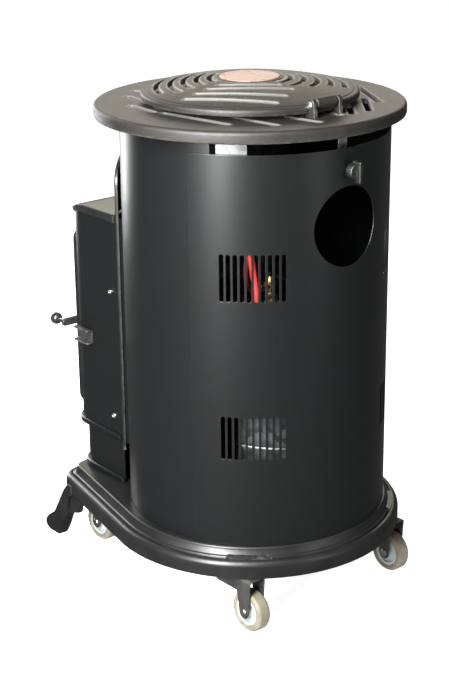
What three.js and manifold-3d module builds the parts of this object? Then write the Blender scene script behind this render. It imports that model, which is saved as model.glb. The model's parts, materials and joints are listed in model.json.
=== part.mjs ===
// Free-standing round kerosene heater on casters.
// Millimetres, +Z up from the floor, casing axis at X = 0, Y = 0 before the final shift.
// The stove front with its door faces -Y, the removable rear cover faces +Y.
import * as THREE from 'three';
import { mergeVertices } from 'three/addons/utils/BufferGeometryUtils.js';
import Module from 'manifold-3d';

const wasm = await Module();
wasm.setup();

// ---------------------------------------------------------------- driving dimensions
const depthShift = 59.95;         // moves the casing axis back so the whole object is centred on Y
const gap = 0.3;                  // clearance between pieces that rest on or run in each other
const sheet = 1.5;                // thickness of the pressed steel sheets

const casing = { radius: 188.3, bottom: 122, top: 704.3, openFrom: 31, openTo: 149 };
const cover = { radius: 190.2, top: 677, halfAngle: 69, corner: 8 };
const port = { radius: 55, height: 570 };
const coverSlot = { count: 10, pitch: 2.8, width: 5.7, side: 42, rows: [[252, 314.5], [479, 544]] };
const liner = { outer: 183.4, inner: 182.2, from: 33, to: 46, low: 640, high: 703 };

const plate = { radius: 217.5, y: -9.5, bottom: 695, top: 712, skin: 7, opening: 118 };
const lid = { radius: 152, rimLow: 717, rimHigh: 727, crown: 745, disc: 42, hingeZ: 729 };
const lidSlot = { first: 57, pitch: 18.5, count: 5, width: 7 };
const hingeY = 141;
const lugInner = 19.5;
const lugOuter = 26.5;
const knob = {
  z: 646, radius: 12.5, stem: 4, face: 192.5, out: 206, grip: 213.5, gripHalf: 3.6, gripReach: 15.5,
};
const tongue = { back: 178, front: 184.5, boss: 7, half: 6, below: 7, above: 29 };
const catchStrap = { half: 8, y: 176, thick: 1.6, low: 664, high: 704.2, reach: 168 };

const base = { radius: 219, y: -8, flank: 12.4, flankLength: 200, corner: 38, front: -292 };
const baseHeight = { low: 82, skirt: 108, ledge: 112, deck: 121.7, deckUnder: 113 };
const baseInset = { pocket: 9, rim: 11, ledge: 13, deck: 19, innerPocket: 24 };
const rearPad = { half: 24, front: 32, back: 30 };
const frontPadHalf = 26;

const bay = { half: 137, front: -277, corner: 41, back: -101, low: 192, high: 540 };
const bayWindow = { half: 96, low: 238, high: 485, corner: 8 };
const hood = { top: 544, lip: 504, overhang: 4.5, bend: 38, back: -146, band: 12 };
const lowerBay = { half: 134.5, front: -270, corner: 44, back: -148, low: 122, high: 191.7 };
const arch = { half: 141, low: 180.5, opening: 137.4, spring: 588, rise: 62, radius: 199, inner: 190.6 };
const bead = { back: -149, high: 9, grow: 4.5, lowerGrow: 5 };
const burner = { y: -203, floorHole: 62 };
const wickKnob = { z: 150, shaft: 3, radius: 15, back: -275.5, front: -289, grip: -296 };
const screw = { radius: 4.2, head: 2.6, spots: [['upper', -166, 423], ['lower', -167, 227]] };

const door = { half: 118, low: 209, high: 492, back: -278.2, front: -287, corner: 16 };
const doorOpening = { half: 86, low: 243, high: 462, corner: 8 };
const doorGlass = { half: 90, low: 238, high: 467, front: -277.9, back: -274.4 };
const retainer = { front: -274.1, back: -272.6, edge: 3, band: 8 };
const doorHinge = {
  x: -124.5, y: -290, pin: 2.5, knuckle: 6, inset: 40, half: 14, lugHalf: 21, lugGap: 14.4,
};
const latch = { x: 96, z: 341, shaft: 4, collar: 9, arm: 33, armHalf: 6, armBack: -296, armFront: -302 };
const ballKnob = { radius: 9.5, y: -323.9, neck: 3.2, neckFront: -314 };
const keeper = { front: -250, back: -214, half: 11, lip: 3, reach: 12 };

const wheel = { radius: 30, half: 10.5, hub: 20.6, pin: 4 };
const rearWheel = { x: 139, y: 149 };
const frontWheel = { x: 126, y: -222, pivotY: -198 };
const fork = { inner: 12, thick: 2.5 };

const tank = { radius: 110, y: 50, low: 122, shoulder: 392, wall: 1.2 };
const valve = { x: 22, y: 58, z: 462 };
const filler = { x: -52, y: 66, neck: 19, top: 446, cap: 23, capTop: 460 };
const hoseRadius = 4.5;
const shield = { half: 150, front: -94, back: -92.8, low: 188, high: 700 };
const mirror = { outer: 92, inner: 90.8, from: 20, to: 160, high: 520 };

// ---------------------------------------------------------------- materials
const material = (color, roughness, metalness) =>
  new THREE.MeshStandardMaterial({ color, roughness, metalness });

const steelBlack = material(0x26282a, 0.55, 0.4);
const castGrey = material(0x5b564f, 0.75, 0.5);
const enamelBlack = material(0x1a1b1c, 0.3, 0.3);
const castBlack = material(0x222324, 0.5, 0.4);
const galvanised = material(0xb9bcbe, 0.4, 0.9);
const brightSteel = material(0xc9cbcc, 0.25, 1.0);
const knobSilver = material(0xa9aaa8, 0.4, 0.8);
const copperDisc = material(0xc79a8a, 0.45, 0.6);
const hubGrey = material(0x9aa1a3, 0.5, 0.1);
const tyreBeige = material(0xb8ad97, 0.7, 0.0);
const ballBlack = material(0x101010, 0.2, 0.0);
const hoseRed = material(0xa3231c, 0.5, 0.0);
const brass = material(0xb08d4a, 0.35, 0.9);
const wickWhite = material(0xd8d2c2, 0.95, 0.0);
const heatGlass = new THREE.MeshStandardMaterial({
  color: 0xcfd6d4, roughness: 0.05, metalness: 0, transparent: true, opacity: 0.3,
});

// ---------------------------------------------------------------- joining and cutting
function toSolid(geometry) {
  const bare = geometry.clone();
  bare.deleteAttribute('normal');
  bare.deleteAttribute('uv');
  const merged = mergeVertices(bare, 1e-3);
  return new wasm.Manifold(new wasm.Mesh({
    numProp: 3,
    vertProperties: new Float32Array(merged.attributes.position.array),
    triVerts: new Uint32Array(merged.index.array),
  }));
}

function toGeometry(solid) {
  const mesh = solid.getMesh();
  const geometry = new THREE.BufferGeometry();
  geometry.setAttribute('position', new THREE.BufferAttribute(mesh.vertProperties, 3));
  geometry.setIndex(new THREE.BufferAttribute(mesh.triVerts, 1));
  geometry.computeVertexNormals();
  return geometry;
}

const join = (first, ...rest) =>
  toGeometry(rest.reduce((solid, next) => solid.add(toSolid(next)), toSolid(first)));
const cut = (first, ...rest) =>
  toGeometry(rest.reduce((solid, next) => solid.subtract(toSolid(next)), toSolid(first)));
const common = (first, ...rest) =>
  toGeometry(rest.reduce((solid, next) => solid.intersect(toSolid(next)), toSolid(first)));

// ---------------------------------------------------------------- outlines and simple solids
const radians = (angle) => angle * Math.PI / 180;
const polar = (radius, angle, x = 0, y = 0) => new THREE.Vector2(
  x + radius * Math.cos(radians(angle)), y + radius * Math.sin(radians(angle)));

function arc(x, y, radius, from, to, steps) {
  const points = [];
  for (let i = 0; i <= steps; i += 1) {
    points.push(polar(radius, from + (to - from) * i / steps, x, y));
  }
  return points;
}

const circle = (x, y, radius, steps) => arc(x, y, radius, 0, 360 - 360 / steps, steps - 1);
const corners = (...pairs) => pairs.map(([x, y]) => new THREE.Vector2(x, y));

function roundedRectangle(x0, x1, y0, y1, radius, steps = 3) {
  return [
    ...arc(x1 - radius, y0 + radius, radius, -90, 0, steps),
    ...arc(x1 - radius, y1 - radius, radius, 0, 90, steps),
    ...arc(x0 + radius, y1 - radius, radius, 90, 180, steps),
    ...arc(x0 + radius, y0 + radius, radius, 180, 270, steps),
  ];
}

// An outline in plan, extruded from one height to another, with an optional rounded edge.
function prism(outline, low, high, round = 0, holes = [], roundSteps = 2) {
  const shape = new THREE.Shape(outline);
  shape.holes = holes.map((hole) => new THREE.Path(hole));
  return new THREE.ExtrudeGeometry(shape, {
    depth: high - low - 2 * round,
    bevelEnabled: round > 0,
    bevelThickness: round,
    bevelSize: round,
    bevelOffset: -round,
    bevelSegments: roundSteps,
  }).translate(0, 0, low + round);
}

const axisX = new THREE.Vector3(1, 0, 0);
const axisY = new THREE.Vector3(0, 1, 0);
const axisZ = new THREE.Vector3(0, 0, 1);

// An outline given as (Y, Z), extruded along X.
const slabAlongX = (outline, x0, x1, round = 0) => prism(outline, x0, x1, round, [], 1)
  .applyMatrix4(new THREE.Matrix4().makeBasis(axisY, axisZ, axisX));

// An outline given as (X, Z), extruded along Y.
const slabAlongY = (outline, y0, y1, round = 0, holes = []) => prism(
  outline, -y1, -y0, round, holes, 1)
  .applyMatrix4(new THREE.Matrix4().makeBasis(axisX, axisZ, axisY.clone().negate()));

// An outline given as (sideways, Z), extruded outwards from the casing axis at a plan angle.
function slabAlongRadius(outline, angle, inner, outer) {
  const out = new THREE.Vector3(Math.cos(radians(angle)), Math.sin(radians(angle)), 0);
  const side = new THREE.Vector3().crossVectors(axisZ, out);
  return prism(outline, inner, outer)
    .applyMatrix4(new THREE.Matrix4().makeBasis(side, axisZ, out));
}

// A closed (radius, Z) profile turned about a vertical axis.
function turned(profile, steps, x = 0, y = 0) {
  const points = profile.map(([radius, z]) => new THREE.Vector2(radius, z));
  const first = points[0];
  const last = points[points.length - 1];
  const onAxis = first.x === 0 && last.x === 0;
  if (!onAxis) points.push(first.clone());
  return new THREE.LatheGeometry(points, steps).rotateX(Math.PI / 2).translate(x, y, 0);
}

const ringSector = (outer, inner, from, to, low, high, steps) => prism([
  ...arc(0, 0, outer, from, to, steps),
  ...arc(0, 0, inner, to, from, steps),
], low, high);

const box = (x0, x1, y0, y1, z0, z1) => new THREE.BoxGeometry(x1 - x0, y1 - y0, z1 - z0)
  .translate((x0 + x1) / 2, (y0 + y1) / 2, (z0 + z1) / 2);

function rod(from, to, radius, steps = 10) {
  const start = new THREE.Vector3(...from);
  const end = new THREE.Vector3(...to);
  const length = start.distanceTo(end);
  const turn = new THREE.Quaternion().setFromUnitVectors(axisY, end.clone().sub(start).normalize());
  return new THREE.CylinderGeometry(radius, radius, length, steps)
    .applyQuaternion(turn)
    .translate(...start.add(end).multiplyScalar(0.5).toArray());
}

// ---------------------------------------------------------------- scene graph
const heater = new THREE.Group();
const standing = new THREE.Group();
standing.position.set(0, depthShift, 0);
heater.add(standing);

function place(name, geometry, look, x = 0, y = 0, z = 0, parent = standing) {
  const mesh = new THREE.Mesh(geometry, look);
  mesh.name = name;
  mesh.position.set(x, y, z);
  parent.add(mesh);
  return mesh;
}

const sides = [['left', -1], ['right', 1]];

// ---------------------------------------------------------------- base plinth and legs
function baseOutline(inset) {
  const reach = base.radius - base.corner;
  const flank = radians(base.flank);
  const cornerX = reach * Math.cos(flank) - base.flankLength * Math.sin(flank);
  const cornerY = base.y - reach * Math.sin(flank) - base.flankLength * Math.cos(flank);
  const bow = -base.front - base.corner;
  const bowY = (cornerX ** 2 + cornerY ** 2 - bow ** 2) / (2 * bow + 2 * cornerY);
  const lean = Math.atan2(cornerX, bowY - cornerY) / Math.PI * 180;
  const cornerRadius = base.corner - inset;
  return [
    ...arc(0, base.y, base.radius - inset, -base.flank, 180 + base.flank, 30),
    ...arc(-cornerX, cornerY, cornerRadius, 180 + base.flank, 270 - lean, 4),
    ...arc(0, bowY, bowY - base.front - inset, 270 - lean, 270 + lean, 4).slice(1, -1),
    ...arc(cornerX, cornerY, cornerRadius, 270 + lean, 360 - base.flank, 4),
  ];
}

const legOutline = corners(
  [-232, 81.7], [-261, 81.7], [-288, 37], [-301, 28.5], [-310.5, 19.5], [-313.7, 13.5], [-311.7, 8],
  [-306, 3.4], [-298, 0], [-277, 0], [-267, 15], [-257, 36], [-251, 58], [-249, 70], [-244, 76]);
const gussetOutline = corners(
  [-249, 79], [-249, 46], [-225, 54], [-221, 68], [-221, 81.7], [-249, 81.7]);
const legSocket = corners([-236, 84], [-236, 98], [-249, 97.5], [-261, 82], [-240, 82]);
const legInner = 157;
const legOuter = 176;

function makeBase() {
  const ring = (outer, inner, low, high, round) =>
    prism(baseOutline(outer), low, high, round, [baseOutline(inner).reverse()]);
  const { low, skirt, ledge, deck, deckUnder } = baseHeight;
  const body = cut(
    join(
      prism(baseOutline(0), low, skirt - 4, 1.5, [], 1),
      ring(0, baseInset.rim, skirt - 12, skirt, 5),
      prism(baseOutline(baseInset.ledge), skirt - 8, ledge, 2),
      prism(baseOutline(baseInset.deck), skirt, deck, 3),
    ),
    prism(baseOutline(baseInset.pocket), low - 1, skirt - 11),
    prism(baseOutline(baseInset.innerPocket), low - 1, deckUnder),
  );
  const padTop = deck - 4;
  const pads = [];
  for (const [, side] of sides) {
    const rearX = side * rearWheel.x;
    const frontX = side * frontWheel.x;
    pads.push(
      common(
        box(rearX - rearPad.half, rearX + rearPad.half,
          rearWheel.y - rearPad.front, rearWheel.y + rearPad.back, low, padTop),
        prism(baseOutline(4), low, deck),
      ),
      box(frontX - frontPadHalf, frontX + frontPadHalf,
        frontWheel.pivotY - frontPadHalf, frontWheel.pivotY + frontPadHalf, low, padTop),
      slabAlongX(legSocket, side > 0 ? legInner : -legOuter, side > 0 ? legOuter : -legInner),
    );
  }
  return join(body, ...pads);
}

place('base_plinth', makeBase(), enamelBlack);

for (const [name, side] of sides) {
  const low = side > 0 ? legInner : -legOuter;
  const high = side > 0 ? legOuter : -legInner;
  const middle = (low + high) / 2;
  place(`front_leg_${name}`, join(
    slabAlongX(legOutline, low, high, 1.6),
    slabAlongX(gussetOutline, middle - 4, middle + 4),
  ), enamelBlack);
}

// ---------------------------------------------------------------- casters
const crosswise = new THREE.Matrix4().makeRotationY(Math.PI / 2);

function makeTyre() {
  const { radius, half, hub } = wheel;
  return turned([
    [hub + 0.5, -half + 1.5], [radius - 3, -half], [radius, -half + 4],
    [radius, half - 4], [radius - 3, half], [hub + 0.5, half - 1.5],
  ], 20).applyMatrix4(crosswise);
}

function makeHub() {
  const bore = wheel.pin + gap;
  const half = wheel.half;
  return turned([
    [bore, -half], [8, -half], [9, -half + 4], [wheel.hub, -half + 1.5],
    [wheel.hub, half - 1.5], [9, half - 4], [8, half], [bore, half],
  ], 14).applyMatrix4(crosswise);
}

const pinHead = 2;
const cheekOuter = fork.inner + fork.thick;
const makeAxlePin = () => join(
  rod([-cheekOuter - gap, 0, 0], [cheekOuter + gap, 0, 0], wheel.pin),
  rod([-cheekOuter - gap - pinHead, 0, 0], [-cheekOuter - gap, 0, 0], wheel.pin + 2),
  rod([cheekOuter + gap, 0, 0], [cheekOuter + gap + pinHead, 0, 0], wheel.pin + 2),
);

const pinHole = () => rod([-cheekOuter - 5, 0, 0], [cheekOuter + 5, 0, 0], wheel.pin + gap);
const plateTop = 51.7;           // bracket's mounting face above the axle
const plateThick = 2.7;

function makeRearBracket(side) {
  const cheek = [
    ...corners([13, plateTop], [-13, plateTop], [-9, 0]),
    ...arc(0, 0, 9, 200, 340, 3),
  ];
  const wing = [
    ...corners([13, plateTop], [-62, plateTop]),
    ...arc(-54, 38, 8, 180, 262, 4),
    ...corners([-13, 30], [-9.5, 0]),
    ...arc(0, 0, 9.5, 200, 340, 3),
  ];
  const span = (inner, outer) => (side > 0 ? [inner, outer] : [-outer, -inner]);
  return cut(
    join(
      box(-cheekOuter, cheekOuter, -16, 13, plateTop - plateThick, plateTop),
      slabAlongX(cheek, ...span(-cheekOuter, -fork.inner)),
      slabAlongX(wing, ...span(fork.inner, cheekOuter)),
      box(...span(fork.inner - 6, cheekOuter), -62, 0, plateTop - plateThick, plateTop),
    ),
    pinHole(),
  );
}

const trail = frontWheel.pivotY - frontWheel.y;
const swivelTop = plateTop - plateThick - gap;
const kingpinRadius = 5;

function makeSwivelFork() {
  const cheek = [
    ...corners([trail + 15, swivelTop], [-8, swivelTop], [-9, 0]),
    ...arc(0, 0, 9, 200, 340, 3),
    ...corners([trail + 15, swivelTop - 12]),
  ];
  return cut(
    join(
      prism(circle(0, trail, 18, 14), swivelTop - plateThick, swivelTop),
      box(-cheekOuter, cheekOuter, -8, trail + 14, swivelTop - plateThick, swivelTop),
      slabAlongX(cheek, -cheekOuter, -fork.inner),
      slabAlongX(cheek, fork.inner, cheekOuter),
    ),
    pinHole(),
    rod([0, trail, 0], [0, trail, plateTop], kingpinRadius + gap),
  );
}

const makeCasterPlate = () => join(
  prism(roundedRectangle(-21, 21, trail - 21, trail + 21, 5), plateTop - plateThick, plateTop),
  rod([0, trail, swivelTop - plateThick - 3], [0, trail, plateTop - 1], kingpinRadius),
  rod([0, trail, swivelTop - plateThick - 3], [0, trail, swivelTop - plateThick - gap], kingpinRadius + 3),
);

for (const [name, side] of sides) {
  const rear = new THREE.Group();
  rear.position.set(side * rearWheel.x, rearWheel.y, wheel.radius);
  standing.add(rear);
  place(`rear_caster_bracket_${name}`, makeRearBracket(side), castBlack, 0, 0, 0, rear);
  place(`rear_wheel_tyre_${name}`, makeTyre(), tyreBeige, 0, 0, 0, rear);
  place(`rear_wheel_hub_${name}`, makeHub(), hubGrey, 0, 0, 0, rear);
  place(`rear_axle_pin_${name}`, makeAxlePin(), brightSteel, 0, 0, 0, rear);

  const front = new THREE.Group();
  front.position.set(side * frontWheel.x, frontWheel.y, wheel.radius);
  standing.add(front);
  place(`front_caster_plate_${name}`, makeCasterPlate(), castBlack, 0, 0, 0, front);
  place(`front_caster_fork_${name}`, makeSwivelFork(), castBlack, 0, 0, 0, front);
  place(`front_wheel_tyre_${name}`, makeTyre(), tyreBeige, 0, 0, 0, front);
  place(`front_wheel_hub_${name}`, makeHub(), hubGrey, 0, 0, 0, front);
  place(`front_axle_pin_${name}`, makeAxlePin(), brightSteel, 0, 0, 0, front);
}

// ---------------------------------------------------------------- casing and rear cover
const casingInner = casing.radius - sheet;
const openingTop = hood.top + 0.6;

place('casing_shell', cut(
  ringSector(casing.radius, casingInner, casing.openTo - 360, casing.openFrom, casing.bottom, casing.top, 42),
  box(-bay.half - 1, bay.half + 1, -220, -100, casing.bottom - 5, openingTop),
), steelBlack);

function slotOutline(width, low, high) {
  const half = width / 2;
  return [
    ...arc(0, low + half, half, 180, 360, 2),
    ...arc(0, high - half, half, 0, 180, 2),
  ];
}

function makeRearCover() {
  const outer = cover.radius;
  const inner = outer - sheet;
  const shell = ringSector(outer, inner, 90 - cover.halfAngle, 90 + cover.halfAngle,
    casing.bottom, cover.top, 34);
  const cutters = [slabAlongRadius(circle(0, port.height, port.radius, 32), 90, inner - 25, outer + 5)];
  for (const [, side] of sides) {
    for (const [low, high] of coverSlot.rows) {
      for (let i = 0; i < coverSlot.count; i += 1) {
        const step = i - (coverSlot.count - 1) / 2;
        const angle = 90 - side * (coverSlot.side + step * coverSlot.pitch);
        const outline = slotOutline(coverSlot.width, low, high);
        cutters.push(slabAlongRadius(outline, angle, inner - 3, outer + 3));
      }
    }
    const corner = cover.corner;
    const cornerOutline = [
      new THREE.Vector2(side * 5, cover.top + 5),
      new THREE.Vector2(-side * corner, cover.top + 5),
      ...arc(-side * corner, cover.top - corner, corner, 90, side > 0 ? 0 : 180, 4),
      new THREE.Vector2(side * 5, cover.top - corner),
    ];
    if (side > 0) cornerOutline.reverse();
    cutters.push(slabAlongRadius(cornerOutline, 90 + side * cover.halfAngle, inner - 3, outer + 3));
  }
  cutters.push(rod([0, outer - 20, knob.z], [0, outer + 5, knob.z], knob.stem + gap));
  return cut(shell, ...cutters);
}

place('rear_cover', makeRearCover(), steelBlack);

const knobGrip = roundedRectangle(
  -knob.gripHalf, knob.gripHalf, knob.z - knob.gripReach, knob.z + knob.gripReach, 3);
place('cover_knob', join(
  rod([0, tongue.front + gap, knob.z], [0, knob.face + 1, knob.z], knob.stem),
  rod([0, knob.face, knob.z], [0, knob.face + 3, knob.z], knob.radius - 2, 16),
  rod([0, knob.face + 2.5, knob.z], [0, knob.out, knob.z], knob.radius, 16),
  slabAlongY(knobGrip, knob.out - 8, knob.grip, 1),
), knobSilver);

const tongueOutline = roundedRectangle(
  -tongue.half, tongue.half, knob.z - tongue.below, knob.z + tongue.above, tongue.half - 0.5);
place('cover_knob_tongue', join(
  rod([0, tongue.back, knob.z], [0, tongue.front, knob.z], tongue.boss),
  slabAlongY(tongueOutline, tongue.back + 2, tongue.front - 2),
), brightSteel);

function makeCatch() {
  const { half, y, thick, low, high, reach } = catchStrap;
  return join(
    box(-half, half, y, y + thick, low, high),
    box(-half, half, reach, y + thick, high - thick, high),
  );
}

place('cover_catch', makeCatch(), brightSteel);

// Bright liner strip clipped inside the casing, seen above the cover's top edge.
place('upper_liner', ringSector(
  liner.outer, liner.inner, liner.from, liner.to, liner.low, liner.high, 6), galvanised);

// ---------------------------------------------------------------- top plate
const unit = 190;                // slot places are given as fractions of this radius
const plateSlotWidth = 9;
const plateSlots = [
  [0.59, -0.70, 0.64, -0.42], [0.785, -0.40, 0.81, -0.11], [0.775, -0.02, 0.70, 0.57],
  [0.52, 0.44, 0.47, 0.81], [0.24, 0.66, 0.19, 0.935], [-0.055, 0.68, -0.085, 0.86],
  [-0.18, 0.88, -0.41, 0.61], [-0.34, 0.89, -0.61, 0.57], [-0.62, 0.71, -0.92, 0.20],
  [-0.71, 0.14, -0.79, -0.24], [-0.69, -0.17, -0.71, -0.55], [-0.50, -0.48, -0.49, -0.80],
  [-0.24, -0.66, -0.20, -0.93], [0.04, -0.68, 0.10, -0.94], [0.30, -0.62, 0.42, -0.84],
];

function straightSlot(x0, y0, x1, y1, width) {
  const angle = Math.atan2(y1 - y0, x1 - x0) / Math.PI * 180;
  return [
    ...arc(x1, y1, width / 2, angle - 90, angle + 90, 3),
    ...arc(x0, y0, width / 2, angle + 90, angle + 270, 3),
  ];
}

function makeTopPlate() {
  const skinLow = plate.top - plate.skin;
  const disc = prism(circle(0, 0, plate.radius, 60), plate.bottom, plate.top, 4.5);
  const slotCuts = plateSlots.map((ends) => prism(
    straightSlot(...ends.map((value) => value * unit), plateSlotWidth), plate.bottom - 5, plate.top + 5));
  const body = cut(disc, prism(circle(0, 0, plate.radius - 10, 40), plate.bottom - 5, skinLow),
    prism(circle(0, 0, plate.opening, 36), skinLow - 1, plate.top + 5), ...slotCuts)
    .translate(0, plate.y, 0);
  const lugs = [];
  for (const [, side] of sides) {
    const span = side > 0 ? [lugInner, lugOuter] : [-lugOuter, -lugInner];
    lugs.push(slabAlongX([
      ...corners([hingeY - 9, plate.top - 2], [hingeY + 9, plate.top - 2]),
      ...arc(hingeY, lid.hingeZ, 8, 0, 180, 6),
    ], ...span, 1));
  }
  const pinBore = rod([-40, hingeY, lid.hingeZ], [40, hingeY, lid.hingeZ], 3 + gap);
  return cut(join(body, ...lugs), pinBore);
}

place('top_plate', makeTopPlate(), castGrey);

// ---------------------------------------------------------------- lid
// A slot whose centre line runs between two points given as (radius, angle).
// It is an arc where flat = 0 and a straight line where flat = 1.
function curvedSlot(r0, a0, r1, a1, width, flat, steps) {
  const left = [];
  const right = [];
  const chord0 = polar(r0, a0);
  const chord1 = polar(r1, a1);
  const onLine = (t) => {
    const round = polar(r0 + (r1 - r0) * t, a0 + (a1 - a0) * t);
    return round.lerp(chord0.clone().lerp(chord1, t), flat);
  };
  for (let i = 0; i <= steps; i += 1) {
    const t = i / steps;
    const ahead = onLine(t + 0.01).sub(onLine(t - 0.01)).normalize();
    const side = new THREE.Vector2(-ahead.y, ahead.x).multiplyScalar(width / 2);
    left.push(onLine(t).add(side));
    right.unshift(onLine(t).sub(side));
    if (i === 0) right.push(onLine(t).sub(ahead.clone().multiplyScalar(width / 2)));
    if (i === steps) left.push(onLine(t).add(ahead.clone().multiplyScalar(width / 2)));
  }
  return [...left, ...right].reverse();
}

// Start and end angles of the slots of one quarter, inner slot first, with how straight they run.
const lidQuarters = [
  { from: [11, 9, 8, 8, 8], to: [85, 88, 74, 64, 52], flat: 0.75, stretch: 1.16 },
  { from: [98, 98, 112, 126, 132], to: [168, 170, 171, 172, 166], flat: 0, stretch: 1 },
  { from: [192, 190, 189, 188, 196], to: [256, 259, 260, 261, 250], flat: 0, stretch: 1 },
  { from: [284, 281, 280, 279, 288], to: [348, 351, 352, 352, 342], flat: 0.1, stretch: 1 },
];

function makeLid() {
  const { radius, rimLow, rimHigh, crown, disc, hingeZ } = lid;
  const dome = turned([
    [0, crown - 9], [disc, crown - 9], [radius - 12, rimLow], [radius, rimLow + 2],
    [radius, rimHigh - 3], [radius - 3, rimHigh], [100, crown - 8], [disc + 8, crown - 0.2],
    [disc + 1, crown - 2.2], [0, crown - 2.2],
  ], 40);
  const cutters = [];
  for (const quarter of lidQuarters) {
    for (let i = 0; i < lidSlot.count; i += 1) {
      const r = (lidSlot.first + lidSlot.pitch * i) * quarter.stretch;
      if (r > radius - 14) continue;
      const slot = curvedSlot(r, quarter.from[i], r, quarter.to[i], lidSlot.width, quarter.flat, 3);
      cutters.push(prism(slot, rimLow - 10, crown + 10));
    }
  }
  const notches = sides.map(([, side]) => box(
    side > 0 ? lugInner - 1 : -lugOuter - 4, side > 0 ? lugOuter + 4 : -lugInner + 1,
    hingeY - plate.y - 13, hingeY - plate.y + 20, rimLow - 5, rimHigh + 12));
  const barrelY = hingeY - plate.y;
  const barrel = join(
    rod([-18.5, barrelY, hingeZ], [18.5, barrelY, hingeZ], 8, 18),
    box(-18.5, 18.5, barrelY - 14, barrelY, rimLow + 3, rimHigh + 4),
  );
  const feet = [210, 330].map((angle) => {
    const foot = polar(138, angle);
    return rod([foot.x, foot.y, plate.top + gap], [foot.x, foot.y, rimLow + 4], 5, 10);
  });
  return cut(
    join(cut(dome, ...cutters, ...notches), barrel, ...feet),
    rod([-40, barrelY, hingeZ], [40, barrelY, hingeZ], 3 + gap),
  ).translate(0, plate.y, 0);
}

place('lid', makeLid(), castGrey);

place('lid_disc', turned([
  [0, lid.crown - 1.9], [lid.disc, lid.crown - 1.9], [lid.disc, lid.crown - 0.6], [lid.disc - 1, lid.crown],
  [lid.disc - 6, lid.crown + 0.4], [lid.disc - 8, lid.crown], [0, lid.crown],
], 30, 0, plate.y), copperDisc);

place('lid_hinge_pin', join(
  rod([-lugOuter - 1, hingeY, lid.hingeZ], [lugOuter + 1, hingeY, lid.hingeZ], 3, 12),
  rod([lugOuter + gap, hingeY, lid.hingeZ], [lugOuter + 2.5, hingeY, lid.hingeZ], 5, 12),
), brightSteel);

// ---------------------------------------------------------------- stove front (bay)
// Plan outline of the bay, larger by "grow"; the back stays where it is unless given.
function bayOutline(half, front, corner, back, grow = 0) {
  const cornerX = half - corner;
  const cornerY = front + corner;
  return [
    ...arc(cornerX, cornerY, corner + grow, -90, 0, 6),
    new THREE.Vector2(half + grow, back),
    new THREE.Vector2(-half - grow, back),
    ...arc(-cornerX, cornerY, corner + grow, 180, 270, 6),
  ];
}

// Side view of the hood's curl as (Y, Z): the quarter bend from the roof down to the lip.
const bendY = bay.front - hood.overhang + hood.bend;
const bendZ = hood.top - hood.bend;
const curl = (radius, steps = 5) => arc(bendY, bendZ, radius, 90, 180, steps);

function makeBayHousing() {
  const { half, front, corner, back, low, high } = bay;
  const outer = bayOutline(half, front, corner, back);
  const inner = bayOutline(half, front, corner, back - sheet, -sheet);
  const wall = join(
    prism(outer, low, high, 0, [inner.reverse()]),
    cut(
      prism(outer, low, low + sheet),
      prism(circle(0, burner.y, burner.floorHole, 32), low - 1, low + 5),
    ),
    cut(
      prism(bayOutline(half, front, corner, bead.back, bead.grow), low, low + bead.high, 2),
      prism(bayOutline(half, front, corner, bead.back + 10, -0.7), low - 1, low + bead.high + 1),
    ),
  );
  const trimBend = [
    ...corners([bendY, high + 20], [front - 30, high + 20], [front - 30, bendZ]),
    ...curl(hood.bend - 2.2).reverse(),
  ];
  const window = roundedRectangle(
    -bayWindow.half, bayWindow.half, bayWindow.low, bayWindow.high, bayWindow.corner);
  return cut(
    wall,
    slabAlongX(trimBend, -half - 20, half + 20),
    slabAlongY(window, front - 10, front + 40),
    box(-200, 200, back - sheet - 30, back - sheet + 0.01, high - 40, high + 5),
  );
}

place('bay_housing', makeBayHousing(), steelBlack);

function makeHood() {
  const { half, front, corner } = bay;
  const outline = bayOutline(half, front, corner, hood.back, hood.overhang);
  const block = prism(outline, hood.lip - 5, hood.top + 5);
  const inside = prism(bayOutline(half, front, corner, hood.back + 5, 0.6), hood.lip - 10, hood.top + 10);
  const lipY = bendY - hood.bend;
  const curledSheet = (thick) => slabAlongX([
    ...corners([hood.back + 5, hood.top]), ...curl(hood.bend),
    ...corners([lipY, hood.lip], [lipY + thick, hood.lip]),
    ...curl(hood.bend - thick).reverse(), ...corners([hood.back + 5, hood.top - thick]),
  ].reverse(), -half - 20, half + 20);
  return join(
    common(block, curledSheet(sheet)),
    common(cut(block, inside), curledSheet(hood.band)),
  );
}

place('bay_hood', makeHood(), enamelBlack);

function makeSurround() {
  const { half, low, opening, spring, rise, radius, inner } = arch;
  const outline = (shrink) => {
    const width = half - shrink;
    const height = rise - shrink;
    const points = corners([width, low]);
    for (let i = 0; i <= 14; i += 1) {
      const angle = Math.PI * i / 14;
      points.push(new THREE.Vector2(width * Math.cos(angle), spring + height * Math.sin(angle)));
    }
    return [...points, ...corners([-width, low])];
  };
  const shell = (outer, within) => ringSector(
    outer, within, -140, -40, low - 0.5, spring + rise + 5, 20);
  const whole = slabAlongY(outline(0), -230, -100);
  const middle = slabAlongY(outline(3), -240, -90);
  return cut(
    join(
      common(shell(radius, radius - sheet), whole),
      common(shell(radius + 1.6, inner), cut(whole, middle)),
    ),
    box(-opening, opening, -300, -90, low - 10, hood.top + 0.6),
  );
}

place('bay_surround', makeSurround(), enamelBlack);

function makeLowerHousing() {
  const { half, front, corner, back, low, high } = lowerBay;
  return cut(
    join(
      prism(bayOutline(half, front, corner, back), low, high),
      prism(bayOutline(half, front, corner, back, bead.lowerGrow), low, low + bead.high, 2.5),
    ),
    prism(bayOutline(half, front, corner, back + 20, -sheet), low - 5, high + 5),
    rod([0, front - 20, wickKnob.z], [0, front + 20, wickKnob.z], wickKnob.shaft + gap),
  );
}

place('lower_housing', makeLowerHousing(), steelBlack);

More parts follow.
